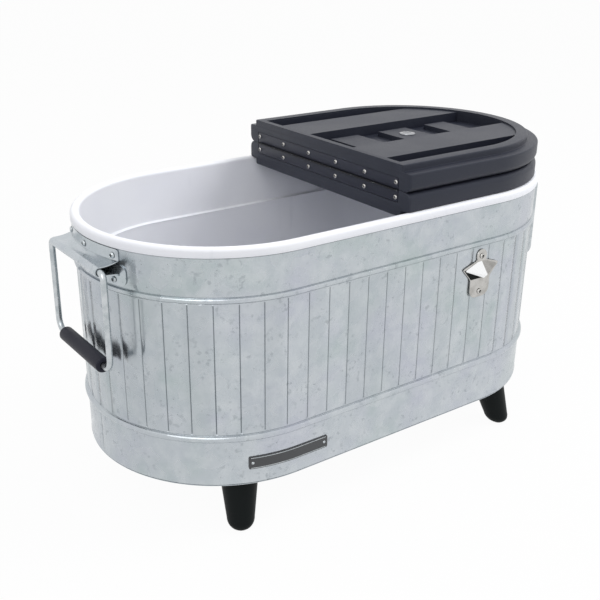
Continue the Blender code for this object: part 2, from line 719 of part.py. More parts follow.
def bracket_rows(side):
    """Rows of the formed bracket: upper flange, channel round the rod, lower flange."""
    out = SEAT_GAP + BRACKET_SHEET / 2

    def on_wall(half, z):
        return [wall_point(half * share, z, out, side) for share in BRACKET_COLUMN_SHARES]

    def on_rod(turn):
        x = ROD_X + WRAP_RADIUS * cos(radians(turn))
        z = ROD_Z + WRAP_RADIUS * sin(radians(turn))
        return [Vector((side * x, BRACKET_HALF * share, z)) for share in BRACKET_COLUMN_SHARES]

    rows = [on_wall(BRACKET_HALF, BRACKET_TOP_Z), on_wall(BRACKET_HALF, BRACKET_FOLD_Z)]
    rows += [on_rod(turn) for turn in (90, 45, 0, -45, -90)]
    rows += [on_wall(BRACKET_HALF, BRACKET_TUCK_Z),
             on_wall(BRACKET_LOW_HALF, BRACKET_TUCK_Z - BRACKET_CORNER),
             on_wall(BRACKET_LOW_HALF, BRACKET_LOW_Z + BRACKET_CORNER),
             on_wall(BRACKET_LOW_HALF - BRACKET_CORNER, BRACKET_LOW_Z)]
    return rows


def build_bracket(label, side, shell):
    bracket = finish("handle_bracket_" + label, sheet_grid(bracket_rows(side)), galvanised())
    thicken(bracket, BRACKET_SHEET)
    length = BRACKET_SHEET + 2 * SEAT_GAP + SHELL_DEPTH * RIVET_SEAT_SHARE
    profile = fastener_profile(RIVET_RADIUS, RIVET_HEAD, RIVET_SHANK, length)
    rows = (("upper", RIVET_UPPER_Z), ("lower", RIVET_LOWER_Z))
    places = (("front", -RIVET_SPREAD), ("middle", 0), ("rear", RIVET_SPREAD))
    for row, z in rows:
        for place, y in places:
            normal = wall_normal(y, z, side)
            seat = wall_point(y, z, BRACKET_SHEET + 2 * SEAT_GAP, side)
            name = "rivet_" + label + "_" + row + "_" + place
            turned(name, profile, seat, normal, SMALL_STEPS, zinc_wire())
            hole = cutter("hole_" + name, rod(RIVET_SHANK + HOLE_GAP, seat + normal * OVERRUN,
                          seat - normal * (length + OVERRUN), SMALL_STEPS))
            boolean(bracket, hole)
            boolean(shell, hole)
    return bracket


# Bottle opener

def opener_outline():
    """Flat back plate: narrow round upper tab, wider round lower tab."""
    points = []
    tabs = ((OPENER_UPPER_HALF, OPENER_TOP_Z - OPENER_UPPER_HALF, 0),
            (OPENER_LOWER_HALF, OPENER_LOW_Z + OPENER_LOWER_HALF, 180))
    for half, centre_z, start in tabs:
        for i in range(2 * CURVE_STEPS + 1):
            angle = radians(start + 90 * i / CURVE_STEPS)
            points.append((OPENER_X + half * cos(angle), centre_z + half * sin(angle)))
    return points


def build_opener(shell):
    back = -OPENER_BACK
    front = back - OPENER_SHEET
    shape = prism(opener_outline(), 0, OPENER_SHEET)
    for corner in shape.verts:
        corner.co = Vector((corner.co.x, back - corner.co.z, corner.co.y))
    plate = finish("bottle_opener", shape, stainless())
    rows = []
    for down, out in HOOD_ROW_SHARES:
        z = OPENER_HOOD_TOP_Z + (OPENER_LIP_Z - OPENER_HOOD_TOP_Z) * down
        half = OPENER_HOOD_HALF * (HOOD_SPREAD_SHARE + (1 - HOOD_SPREAD_SHARE) * down)
        row = []
        for share in HOOD_COLUMN_SHARES:
            depth = OPENER_HOOD_DEPTH * out * (1 - abs(share))
            row.append(Vector((OPENER_X + half * share, (front + back) / 2 - depth, z)))
        rows.append(row)
    hood = cutter("opener_hood", sheet_grid(rows))
    thicken(hood, OPENER_SHEET)
    boolean(plate, hood, "UNION")
    length = OPENER_SHEET + 2 * SEAT_GAP + SHELL_DEPTH * OPENER_SEAT_SHARE
    profile = fastener_profile(OPENER_SCREW_RADIUS, OPENER_SCREW_HEAD, OPENER_SCREW_SHANK, length)
    for label, z in (("upper", OPENER_SCREW_UPPER_Z), ("lower", OPENER_SCREW_LOWER_Z)):
        seat = Vector((OPENER_X, front - SEAT_GAP, z))
        outward = Vector((0, -1, 0))
        turned("opener_screw_" + label, profile, seat, outward, SMALL_STEPS, stainless())
        hole = cutter("opener_hole_" + label, rod(OPENER_SCREW_SHANK + HOLE_GAP, seat + outward * OVERRUN,
                      seat - outward * (length + OVERRUN), SMALL_STEPS))
        boolean(plate, hole)
        boolean(shell, hole)


# Lid halves

def round_end(radius):
    """Corners of the round end of a lid half's outline, in X and Y."""
    angles = [pi * i / ARC_STEPS - pi / 2 for i in range(ARC_STEPS + 1)]
    return [(HALF_STRAIGHT + radius * cos(angle), radius * sin(angle)) for angle in angles]


def d_ring(radius, corner_size, z):
    """Outline of a lid half: straight face, small rounded corners and a round end."""
    corner = [(FACE_X + corner_size * across, radius - corner_size * back) for across, back in CORNER_SHARES]
    points = [(x, -y, z) for x, y in corner]
    points += [(x, y, z) for x, y in round_end(radius)]
    return points + [(x, y, z) for x, y in reversed(corner)]


def inside_outline(radius, start_x, low_y, high_y):
    """The stretch of a round-ended outline that lies between two values of Y, from a start in X."""
    arc = round_end(radius)

    def reach(y):
        for (first_x, first_y), (last_x, last_y) in zip(arc, arc[1:]):
            if first_y <= y <= last_y:
                return first_x + (last_x - first_x) * (y - first_y) / (last_y - first_y)
        return HALF_STRAIGHT

    points = [(start_x, low_y), (reach(low_y), low_y)]
    points += [(x, y) for x, y in arc if low_y < y < high_y]
    return points + [(reach(high_y), high_y), (start_x, high_y)]


def build_lid_half(label, up, parent):
    """A half in its folded place: its outer face on the split line, its plug below it or above it."""

    def height(depth):
        return HINGE_Z + up * (LID_SPLIT_GAP / 2 + depth)

    pairs = [(FLANGE_RADIUS + out - FLANGE_ROUND, FLANGE_CORNER, FLANGE_ROUND - fall)
             for out, fall in quarter(0, 0, FLANGE_ROUND, 90, 0)]
    low = FLANGE_LOW_ROUND
    pairs += [(FLANGE_RADIUS - low + out, FLANGE_CORNER, FLANGE_THICKNESS - low + fall)
              for out, fall in quarter(0, 0, low, 0, 90)[::2]]
    under = FLANGE_THICKNESS + PLUG_DEPTH
    pairs += [(PLUG_RADIUS, PLUG_CORNER, FLANGE_THICKNESS + FLANGE_FALL),
              (PLUG_RADIUS, PLUG_CORNER, under - PLUG_ROUND),
              (PLUG_RADIUS - PLUG_ROUND, PLUG_CORNER, under)]
    shape = loft([d_ring(radius, corner_size, height(depth)) for radius, corner_size, depth in pairs])
    half = finish("lid_" + label + "_half", shape, black_plastic(), parent)

    def sink(name, points, depth):
        first, last = sorted((height(under + OVERRUN), height(under - depth)))
        boolean(half, cutter(label + "_" + name, prism(points, first, last)))

    # Recess of the underside: a rim, two bars, and blocks that stand in the centre trough
    start = FACE_X + RIM_START
    inner = PLUG_INSIDE - SEAT_GAP
    sink("recess", inside_outline(PLUG_INSIDE, start, -PLUG_INSIDE, PLUG_INSIDE), BAR_DROP)
    start += SEAT_GAP
    sink("front_trough", inside_outline(inner, start, -inner, -BAR_OUTER_Y), TROUGH_DEPTH)
    sink("rear_trough", inside_outline(inner, start, BAR_OUTER_Y, inner), TROUGH_DEPTH)
    sink("centre_trough", inside_outline(inner, start, -BAR_INNER_Y, BAR_INNER_Y), TROUGH_DEPTH)
    first, last = sorted((height(under - TROUGH_DEPTH - OVERRUN), height(under - BLOCK_DROP)))
    for i, (low_x, high_x) in enumerate(BLOCK_SPANS):
        block_form = block((low_x, -BLOCK_HALF, first), (high_x, BLOCK_HALF, last))
        boolean(half, cutter(label + "_block_" + str(i + 1), block_form), "UNION")

    # Shallow seat of the hinge leaf in the straight face
    reach = LEAF_HEIGHT + SEAT_GAP
    first, last = sorted((HINGE_Z - up * OVERRUN, HINGE_Z + up * reach))
    seat = block((FACE_X - OVERRUN, -LEAF_HALF - SEAT_GAP, first),
                 (FACE_X + LEAF_SHEET + SEAT_GAP, LEAF_HALF + SEAT_GAP, last))
    boolean(half, cutter(label + "_leaf_seat", seat))

    # Metal plug in the middle block of the underside
    plug_x = sum(BLOCK_SPANS[1]) / 2
    level = under - BLOCK_DROP
    profile = fastener_profile(FILL_PLUG_RADIUS, FILL_PLUG_HEAD, FILL_PLUG_SHANK, FILL_PLUG_DEPTH)
    turned("fill_plug_" + label, profile, (plug_x, 0, height(level + SEAT_GAP)), (0, 0, up), TURN_STEPS,
           stainless(), parent)
    boolean(half, cutter(label + "_fill_hole", rod(FILL_PLUG_SHANK + HOLE_GAP,
            (plug_x, 0, height(level + OVERRUN)), (plug_x, 0, height(level - FILL_PLUG_DEPTH - SEAT_GAP)),
            TURN_STEPS)))
    return half


def knuckle_spans(which):
    """Ends in Y of the hinge knuckles that belong to one leaf: even ones to the base half."""
    length = 2 * LEAF_HALF / KNUCKLE_COUNT
    spans = []
    for i in range(KNUCKLE_COUNT):
        if i % 2 == which:
            start = -LEAF_HALF + i * length
            spans.append((start, start + length))
    return spans


def build_leaf(label, up, which, lid_half, parent):
    """One leaf of the strip hinge: a flat strip, its knuckles and the web that joins them."""
    first, last = sorted((HINGE_Z + up * LEAF_START, HINGE_Z + up * LEAF_HEIGHT))
    shape = block((FACE_X, -LEAF_HALF, first), (FACE_X + LEAF_SHEET, LEAF_HALF, last))
    leaf = finish("hinge_leaf_" + label, shape, black_plastic(), parent)
    first, last = sorted((HINGE_Z + up * WEB_LOW, HINGE_Z + up * WEB_HIGH))
    for i, (low_y, high_y) in enumerate(knuckle_spans(which)):
        low_y += KNUCKLE_GAP / 2
        high_y -= KNUCKLE_GAP / 2
        tag = label + "_" + str(i)
        web = cutter("web_" + tag, block((WEB_START, low_y + WEB_INSET, first),
                                         (FACE_X + LEAF_SHEET / 2, high_y - WEB_INSET, last)))
        barrel = cutter("knuckle_" + tag, rod(KNUCKLE_RADIUS, (0, low_y, HINGE_Z), (0, high_y, HINGE_Z),
                                              SMALL_STEPS))
        boolean(leaf, web, "UNION")
        boolean(leaf, barrel, "UNION")
    bore = cutter("pin_bore_" + label, rod(PIN_RADIUS + HOLE_GAP, (0, -LEAF_HALF - OVERRUN, HINGE_Z),
                                           (0, LEAF_HALF + OVERRUN, HINGE_Z), SMALL_STEPS))
    boolean(leaf, bore)

    profile = fastener_profile(HINGE_SCREW_RADIUS, HINGE_SCREW_HEAD, HINGE_SCREW_SHANK, HINGE_SCREW_LENGTH)
    z = HINGE_Z + up * HINGE_SCREW_Z
    for i in range(HINGE_SCREW_COUNT):
        y = HINGE_SCREW_PITCH * (i - (HINGE_SCREW_COUNT - 1) / 2)
        seat = (FACE_X - SEAT_GAP, y, z)
        name = "hinge_screw_" + label + "_" + str(i + 1)
        turned(name, profile, seat, (-1, 0, 0), SMALL_STEPS, stainless(), parent)
        hole = cutter("hole_" + name, rod(HINGE_SCREW_SHANK + HOLE_GAP, (FACE_X - OVERRUN, y, z),
                      (FACE_X + HINGE_SCREW_LENGTH + SEAT_GAP, y, z), SMALL_STEPS))
        boolean(leaf, hole)
        boolean(lid_half, hole)
    return leaf


def build_lid():
    lift = axis_empty("lid_lift_axis", (0, 0, HINGE_Z))
    fold = axis_empty("lid_fold_axis", (0, 0, HINGE_Z), lift)
    base = build_lid_half("base", -1, lift)
    folding = build_lid_half("folding", 1, fold)
    build_leaf("base", -1, 0, base, lift)
    build_leaf("folding", 1, 1, folding, fold)
    pin = rod(PIN_RADIUS, (0, -LEAF_HALF, HINGE_Z), (0, LEAF_HALF, HINGE_Z), SMALL_STEPS)
    finish("hinge_pin", pin, zinc_wire(), lift)


def build_handles(shell):
    for label, side in (("left", -1), ("right", 1)):
        swing = axis_empty("bail_axis_" + label, (side * ROD_X, 0, ROD_Z))
        spin = axis_empty("grip_axis_" + label, (side * ROD_X, 0, GRIP_Z), swing)
        build_bail(label, side, swing)
        build_grip(label, side, spin)
        build_bracket(label, side, shell)


shell = build_shell()
liner = build_liner()
insulation = build_foam()
pan = build_pan()
build_feet(pan, insulation)
cap_axis = axis_empty("drain_cap_axis", (DRAIN_X, 0, PAN_Z - DRAIN_DROP))
build_drain(liner, insulation, pan, cap_axis)
build_handles(shell)
build_opener(shell)
build_lid()
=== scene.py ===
# Ribbed oval patio cooler, dressed for its portrait. Metres, +Z up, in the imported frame's own place.
import math
import random

import bmesh
import bpy
from mathutils import Matrix, Vector, noise


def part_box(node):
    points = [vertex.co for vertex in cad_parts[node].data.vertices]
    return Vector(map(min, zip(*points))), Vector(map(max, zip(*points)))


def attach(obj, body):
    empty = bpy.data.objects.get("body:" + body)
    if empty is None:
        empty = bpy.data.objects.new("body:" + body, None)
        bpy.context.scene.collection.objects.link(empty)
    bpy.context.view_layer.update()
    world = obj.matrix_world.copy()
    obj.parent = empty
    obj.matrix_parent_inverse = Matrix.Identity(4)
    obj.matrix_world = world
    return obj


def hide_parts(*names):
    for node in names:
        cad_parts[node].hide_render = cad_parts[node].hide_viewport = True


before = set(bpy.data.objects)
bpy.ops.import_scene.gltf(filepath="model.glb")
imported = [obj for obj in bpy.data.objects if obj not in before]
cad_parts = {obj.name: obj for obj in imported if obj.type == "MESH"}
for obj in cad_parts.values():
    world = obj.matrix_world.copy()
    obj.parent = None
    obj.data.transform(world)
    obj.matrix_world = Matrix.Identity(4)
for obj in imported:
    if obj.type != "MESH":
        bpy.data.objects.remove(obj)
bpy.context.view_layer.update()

midY = sum(corner.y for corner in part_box("liner")) / 2      # the tub's own middle, a little behind the origin

# the tub's outline: two straight sides and two round ends, drawn in a little towards the floor
tub = dict(straight=0.35, radius=0.1935, taper=0.0022, topZ=0.3903, lowZ=0.075)
halfStraight = tub["straight"] / 2
girth = 2 * (tub["straight"] + math.pi * tub["radius"])
seatGap = 0.0003


# shader wiring

class Wire:
    # an output socket: sums and products with it become Math nodes
    def __init__(self, finish, socket):
        self.finish = finish
        self.socket = socket

    def __add__(self, other):
        return self.finish.maths("ADD", self, other)

    def __sub__(self, other):
        return self.finish.maths("SUBTRACT", self, other)

    def __rsub__(self, other):
        return self.finish.maths("SUBTRACT", other, self)

    def __mul__(self, other):
        return self.finish.maths("MULTIPLY", self, other)

    __radd__, __rmul__ = __add__, __mul__


class Finish:
    # a material under construction; every socket fed may be a Wire, a number or a tuple
    def __init__(self, name, **looks):
        self.material = bpy.data.materials.new(name)
        self.material.use_nodes = True
        self.tree = self.material.node_tree
        self.shader = self.tree.nodes["Principled BSDF"]
        for socket, value in looks.items():
            self.shader.inputs[socket].default_value = value
        self.place = self.node("TexCoord", {}, "Object")

    def node(self, kind, inputs, out=0, **settings):
        made = self.tree.nodes.new("ShaderNode" + kind)
        for name, value in settings.items():
            setattr(made, name, value)
        for name, value in inputs.items():
            self.feed(made.inputs[name], value)
        return Wire(self, made.outputs[out])

    def feed(self, socket, value):
        if isinstance(value, Wire):
            self.tree.links.new(value.socket, socket)
        elif isinstance(value, tuple) and len(value) == 3 and socket.type == "RGBA":
            socket.default_value = (*value, 1)
        else:
            socket.default_value = value

    def maths(self, operation, first, second):
        return self.node("Math", {0: first, 1: second}, operation=operation)

    def noise(self, scale, detail=2, stretch=(1, 1, 1), seed=0):
        where = self.node("Mapping", {"Vector": self.place, "Scale": stretch, "Location": (seed, seed, seed)})
        return self.node("TexNoise", {"Vector": where, "Scale": scale, "Detail": detail})

    def band(self, value, low, high, bottom=0, top=1):
        return self.node("MapRange", {0: value, 1: low, 2: high, 3: bottom, 4: top},
                         interpolation_type="SMOOTHSTEP")

    def mix(self, mask, first, second):
        return self.node("Mix", {0: mask, 6: first, 7: second}, 2, data_type="RGBA")

    def bump(self, height, distance, strength):
        normal = self.node("Bump", {"Height": height, "Distance": distance, "Strength": strength})
        self.feed(self.shader.inputs["Normal"], normal)

    def layer(self, name):
        # a layer of the piece's own points
        return self.node("Attribute", {}, "Fac", attribute_name=name)

    def pressed(self, low=0.3, high=0.85):
        # 1 in pressed lines and dimples, partly on the hood's right facet: the mask for painted shade
        return self.band(self.layer("pressed"), low, high)

    def set(self, **wires):
        for name, value in wires.items():
            self.feed(self.shader.inputs[name.replace("_", " ")], value)


# galvanised sheet: clouded green and lilac, small grey marks in clusters, painted shade in the pressed lines
# and on the round ends
sheetLook = dict(
    pale=(0.508, 0.547, 0.58), green=(0.44, 0.508, 0.51), lilac=(0.495, 0.515, 0.585),
    mark=(0.3, 0.335, 0.36), bright=(0.68, 0.71, 0.73), line=(0.115, 0.135, 0.145),
    patchScale=8, spangleScale=55, markScale=125, grainScale=420)


def makeGalvanised(name="galvanised", brightness=1.0):
    look = sheetLook
    coat = Finish(name, Metallic=0.9, Roughness=0.3)
    wobble = coat.noise(24, detail=3)
    bent = coat.node("Mix", {0: 0.035, 4: coat.place, 5: wobble}, 1, data_type="VECTOR")
    spangle = coat.node("TexVoronoi", {"Vector": bent, "Scale": look["spangleScale"], "Smoothness": 0.35},
                        "Color", feature="SMOOTH_F1")
    cell = coat.node("SeparateColor", {0: spangle})
    patches = coat.band(coat.noise(look["patchScale"], detail=3), 0.38, 0.62)
    base = coat.mix(coat.band(coat.noise(15, detail=4, seed=4), 0.36, 0.64, 0.15, 0.95),
                    coat.mix(patches, look["green"], look["lilac"]), look["pale"])
    base = coat.mix(coat.band(coat.noise(48, detail=3, seed=7), 0.4, 0.7, 0.0, 0.3), base, look["bright"])
    base = coat.mix(coat.band(cell, 0.0, 1.0, 0.0, 0.22), base, look["bright"])
    clusters = coat.band(coat.noise(22, detail=3, seed=2), 0.4, 0.6)
    marks = coat.band(coat.noise(look["markScale"], detail=2.5, seed=9), 0.575, 0.69) * clusters
    specks = coat.band(coat.noise(260, seed=5), 0.64, 0.72) * clusters
    base = coat.mix(marks * 0.46 + specks * 0.34, base, look["mark"])
    grain = coat.noise(look["grainScale"], detail=3, stretch=(1, 1, 0.35))
    base = coat.mix(coat.band(grain, 0.3, 0.7, 0.07, 0.0), base, look["mark"])
    # painted shade: grooves, bead creases and the bracket fold darkened towards the line colour
    line = coat.pressed(0.42, 0.95) * 0.62
    base = coat.mix(line, base, look["line"])
    base = coat.mix(coat.band(coat.layer("tone"), 0, 1, 0, 0.16), base, look["mark"])     # stave by stave
    # painted shade: the round ends darkened towards the mark colour, the right end more than the left
    along = coat.node("SeparateXYZ", {0: coat.place}, "X")
    ends = coat.band(along, 0.17, 0.36, 0, 0.42) + coat.band(along, -0.36, -0.24, 0.2, 0)
    base = coat.mix(ends, base, look["mark"])
    if brightness != 1.0:
        base = coat.node("VectorMath", {0: base, 3: brightness}, operation="SCALE")
    coat.set(Base_Color=base, Roughness=coat.band(cell, 0.0, 1.0, 0.2, 0.31) + marks * 0.12 + line * 0.3)
    coat.bump(grain * 0.5 + cell * 0.45 + marks * 0.2, 0.00016, 0.4)
    return coat.material


def makeZincWire():
    coat = Finish("zinc_wire", Metallic=0.95, Roughness=0.3)
    blotch = coat.band(coat.noise(90, detail=3), 0.3, 0.7)
    base = coat.mix(blotch, (0.44, 0.48, 0.5), (0.6, 0.63, 0.65))
    # painted shade: rivet dimples and the ring at each head's foot darkened
    coat.set(Base_Color=coat.mix(coat.pressed() * 0.9, base, (0.03, 0.035, 0.04)),
             Roughness=coat.band(blotch, 0, 1, 0.22, 0.34))
    coat.bump(coat.noise(700, stretch=(1, 1, 0.2)), 0.0001, 0.4)
    return coat.material


def makeStainless(name="stainless", pale=(0.55, 0.54, 0.52), dull=(0.42, 0.41, 0.39)):
    coat = Finish(name, Metallic=1.0, Roughness=0.2)
    grain = coat.noise(1500, stretch=(1, 1, 0.05))
    stain = coat.band(coat.noise(60, detail=3), 0.4, 0.7)
    # painted highlight: the tone layer brightens the hood's left facet; painted shade: the pressed layer
    # darkens the hood's right facet, the screw dimples and the ring at each screw head's foot
    base = coat.mix(coat.layer("tone"), coat.mix(stain, pale, dull), (0.93, 0.94, 0.95))
    coat.set(Base_Color=coat.mix(coat.pressed() * 0.92, base, (0.03, 0.03, 0.03)),
             Roughness=coat.band(grain, 0.3, 0.7, 0.15, 0.3))
    coat.bump(grain, 0.00005, 0.3)
    return coat.material


def makeWhitePlastic():
    coat = Finish("white_plastic", Roughness=0.38)
    cloud = coat.band(coat.noise(9, detail=3), 0.3, 0.7)
    scuff = coat.band(coat.noise(60, detail=4, stretch=(1, 1, 0.15)), 0.62, 0.8)
    base = coat.mix(cloud, (0.854, 0.866, 0.92), (0.886, 0.898, 0.938))
    coat.set(Base_Color=coat.mix(scuff * 0.35, base, (0.708, 0.724, 0.781)),
             Roughness=coat.band(cloud, 0, 1, 0.34, 0.44) + scuff * 0.1)
    coat.bump(coat.noise(420), 0.00015, 0.25)
    return coat.material


def makeMoulded(name, colour, worn, grain, roughness, relief, shine=0.35, tint=(1, 1, 1, 1)):
    # pebbled black moulding: fine grain, paler scuffs on a few spots
    coat = Finish(name, **{"Roughness": roughness, "Specular IOR Level": shine, "Specular Tint": tint})
    pebble = coat.node("TexVoronoi", {"Vector": coat.place, "Scale": grain, "Smoothness": 0.6},
                       "Distance", feature="SMOOTH_F1")
    cloud = coat.band(coat.noise(14, detail=4), 0.3, 0.72)
    scuff = coat.band(coat.noise(120, detail=4, stretch=(0.3, 1, 1), seed=3), 0.63, 0.8)
    base = coat.mix(cloud * 0.16 + 0.2 + scuff * 0.35, colour, worn)
    # painted shade: pressed points, the hinge knuckles, darkened to near black
    coat.set(Base_Color=coat.mix(coat.pressed(), base, (0.0012, 0.0012, 0.0015)),
             Roughness=coat.band(cloud, 0, 1, roughness - 0.02, roughness + 0.02))
    coat.bump(pebble + coat.noise(grain * 2) * 0.4, relief, 0.5)
    return coat.material


def makeFoam():
    coat = Finish("foam", Roughness=0.9)
    cells = coat.node("TexVoronoi", {"Vector": coat.place, "Scale": 600}, "Distance")
    coat.set(Base_Color=coat.mix(coat.noise(20), (0.74, 0.68, 0.48), (0.82, 0.76, 0.57)))
    coat.bump(cells, 0.0004, 0.6)
    return coat.material


galvanised = makeGalvanised()
bracketSteel = makeGalvanised("galvanised_bracket", 1.06)
zincWire = makeZincWire()
stainless = makeStainless()
plugMetal = makeStainless("plug_metal", (0.36, 0.37, 0.39), (0.25, 0.26, 0.28))
whitePlastic = makeWhitePlastic()
coldTint = (0.84, 0.89, 1.0, 1)
lidPlastic = makeMoulded("black_plastic", (0.012, 0.0135, 0.0215), (0.026, 0.029, 0.044), grain=1100,
                         roughness=0.44, relief=0.0003, shine=0.4, tint=coldTint)
hingePlastic = makeMoulded("hinge_plastic", (0.017, 0.018, 0.028), (0.036, 0.039, 0.056), grain=1600,
                           roughness=0.42, relief=0.0001, shine=0.3, tint=coldTint)
footPlastic = makeMoulded("foot_plastic", (0.0028, 0.0045, 0.0048), (0.007, 0.0095, 0.0095), grain=900,
                          roughness=0.5, relief=0.00015, shine=0.12)
gripPlastic = makeMoulded("grip_plastic", (0.01, 0.01, 0.017), (0.023, 0.023, 0.036), grain=1400,
                          roughness=0.45, relief=0.00015, shine=0.22, tint=coldTint)
# painted shadow: black finish for the sheet in the opener's mouth
mouthShadow = makeMoulded("mouth_painted_shadow", (0.004, 0.006, 0.006), (0.012, 0.014, 0.014), grain=1500,
                         roughness=0.6, relief=0.00005, shine=0.1)
plateSteel = makeMoulded("plate_enamel", (0.06, 0.062, 0.066), (0.08, 0.083, 0.088), grain=1500,
                         roughness=0.35, relief=0.00004)
foam = makeFoam()
print("finishes ready")


# making pieces

weld = 0.000004       # points nearer than this become one


def ovalSpot(walk, radius, z):
    # a point on the tub's outline: distance walked from the middle of the near side, half width, height
    half, arc = halfStraight, math.pi * tub["radius"]
    walk %= girth
    if walk < half:
        centre, angle = walk, -math.pi / 2
    elif walk < half + arc:
        centre, angle = half, (walk - half) / tub["radius"] - math.pi / 2
    elif walk < 3 * half + arc:
        centre, angle = 2 * half + arc - walk, math.pi / 2
    elif walk < 3 * half + 2 * arc:
        centre, angle = -half, (walk - 3 * half - arc) / tub["radius"] + math.pi / 2
    else:
        centre, angle = walk - 4 * half - 2 * arc, -math.pi / 2
    return Vector((centre + radius * math.cos(angle), midY + radius * math.sin(angle), z))


def wallRadius(z):
    return tub["radius"] - tub["taper"] * (tub["topZ"] - z) / (tub["topZ"] - tub["lowZ"])


def endSpot(side, y, z, out):
    # a point over the tub's round end, y measured from the tub's middle
    radius = wallRadius(z) + out
    return Vector((side * (halfStraight + math.sqrt(radius ** 2 - y ** 2)), midY + y, z))


def evenly(start, end, steps):
    return [start + (end - start) * i / steps for i in range(steps + 1)]


def quarter(centre, z, size, start, end, steps=8):
    # an arc of (radius, height) pairs between two angles
    turns = [math.radians(angle) for angle in evenly(start, end, steps)]
    return [(centre + size * math.cos(a), z + size * math.sin(a)) for a in turns]


def stackLoops(loops, ring=True, caps=False):
    # extrude one loop of edges through the places of the next ones, then close both ends if asked
    bm = bmesh.new()
    spot = bm.verts.layers.int.new("spot")
    first = [bm.verts.new(point) for point in loops[0]]
    for i, vert in enumerate(first):
        vert[spot] = i
    pairs = list(zip(first, first[1:] + first[:1])) if ring else list(zip(first, first[1:]))
    startEdges = [bm.edges.new(pair) for pair in pairs]
    edges = startEdges
    for points in loops[1:]:
        grown = bmesh.ops.extrude_edge_only(bm, edges=edges)["geom"]
        fresh = {item for item in grown if isinstance(item, bmesh.types.BMVert)}
        for vert in fresh:
            vert.co = points[vert[spot]]
        edges = [item for item in grown
                 if isinstance(item, bmesh.types.BMEdge) and fresh.issuperset(item.verts)]
    if caps:
        for end in (startEdges, edges):
            bmesh.ops.edgeloop_fill(bm, edges=end)
    return bm


def capped(loops):
    return stackLoops(loops, caps=True)


def turned(profile, steps, place, axis, dark=0):
    # (radius, height) pairs turned round Z, then stood on a place along an axis; where dark is given,
    # that many first pairs are dark, and so are those at height 0: painted shade in the dimple and round the
    # head's foot
    bm = bmesh.new()
    layer = bm.verts.layers.float.new("pressed")
    verts = [bm.verts.new((radius, 0, height)) for radius, height in profile]
    for i, vert in enumerate(verts):
        vert[layer] = 1 if i < dark or (dark and profile[i][1] == 0) else 0
    edges = [bm.edges.new(pair) for pair in zip(verts, verts[1:])]
    bmesh.ops.spin(bm, geom=verts + edges, cent=(0, 0, 0), axis=(0, 0, 1), angle=2 * math.pi,
                   steps=steps, use_merge=True)
    bmesh.ops.remove_doubles(bm, verts=bm.verts, dist=0.000005)
    turn = Vector(axis).to_track_quat("Z", "Y").to_matrix().to_4x4()
    bmesh.ops.transform(bm, verts=bm.verts, matrix=Matrix.Translation(Vector(place)) @ turn)
    return bm


def addBlock(bm, low, high, bevel=0.0):
    low, high = Vector(low), Vector(high)
    made = bmesh.ops.create_cube(bm, size=1)["verts"]
    bmesh.ops.scale(bm, verts=made, vec=high - low)
    bmesh.ops.translate(bm, verts=made, vec=(low + high) / 2)
    if bevel:
        edges = list({edge for vert in made for edge in vert.link_edges})
        bmesh.ops.bevel(bm, geom=edges, offset=bevel, segments=2, profile=0.5, affect="EDGES",
                        clamp_overlap=True, material=-1)


def circle(x, y, z, radii):
    # a level loop about an upright axis, with one radius for each of its points
    turns = evenly(0, 2 * math.pi, len(radii))
    return [Vector((x + r * math.cos(a), y + r * math.sin(a), z)) for a, r in zip(turns, radii)]


def spotKey(point):
    return tuple(round(c, 6) for c in point)


def facesOut(bm):
    bmesh.ops.recalc_face_normals(bm, faces=bm.faces)
    return bm


def faceNear(bm):
    # a sheet's faces turned to the near side, before it gets thick
    facesOut(bm)
    if sum(face.normal.y * face.calc_area() for face in bm.faces) > 0:
        bmesh.ops.reverse_faces(bm, faces=bm.faces)


def asMesh(bm, name="part"):
    mesh = bpy.data.meshes.new(name)
    bm.to_mesh(mesh)
    bm.free()
    return mesh


def asBody(mesh):
    bm = bmesh.new()
    bm.from_mesh(mesh)
    return bm


def placed(name, data):
    thing = bpy.data.objects.new(name, data)
    bpy.context.scene.collection.objects.link(thing)
    return thing


def settled(thing):
    # an object's mesh with everything live on it worked out
    bpy.context.view_layer.update()
    return bpy.data.meshes.new_from_object(thing.evaluated_get(bpy.context.evaluated_depsgraph_get()))


def finishPiece(name, bm, look, nodes=(), body="tub", angle=35):
    bmesh.ops.remove_doubles(bm, verts=bm.verts, dist=weld)
    mesh = asMesh(facesOut(bm), name)
    if "spot" in mesh.attributes:
        mesh.attributes.remove(mesh.attributes["spot"])
    mesh.materials.append(look)
    mesh.shade_smooth()
    mesh.set_sharp_from_angle(angle=math.radians(angle))
    piece = placed(name, mesh)
    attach(piece, body)
    if nodes:
        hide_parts(*nodes)
    return piece


def cutMesh(mesh, cutters, operation="DIFFERENCE"):
    # the mesh after each cutter in turn, with nothing left live
    body = placed("cutting", mesh)
    tools = []
    for cutter in cutters:
        tools.append(placed("cutter", asMesh(facesOut(cutter))))
        change = body.modifiers.new("cut", "BOOLEAN")
        change.operation = operation
        change.solver = "EXACT"
        change.object = tools[-1]
    result = settled(body)
    for item in [body, *tools]:
        bpy.data.objects.remove(item, do_unlink=True)
    return result


heads = dict(
    rivet=dict(radius=0.0041, head=0.0024, dimple=0.0009, shank=0.0016, length=0.003, steps=28, dark=3),
    leafScrew=dict(radius=0.0033, head=0.0015, dimple=0.0007, shank=0.0013, length=0.005, steps=28, dark=3),
    openerScrew=dict(radius=0.0042, head=0.0022, dimple=0.0013, shank=0.0017, length=0.003, steps=32, dark=3),
    plateRivet=dict(radius=0.0021, head=0.001, dimple=0.0003, shank=0.0008, length=0.0012, steps=20, dark=0))


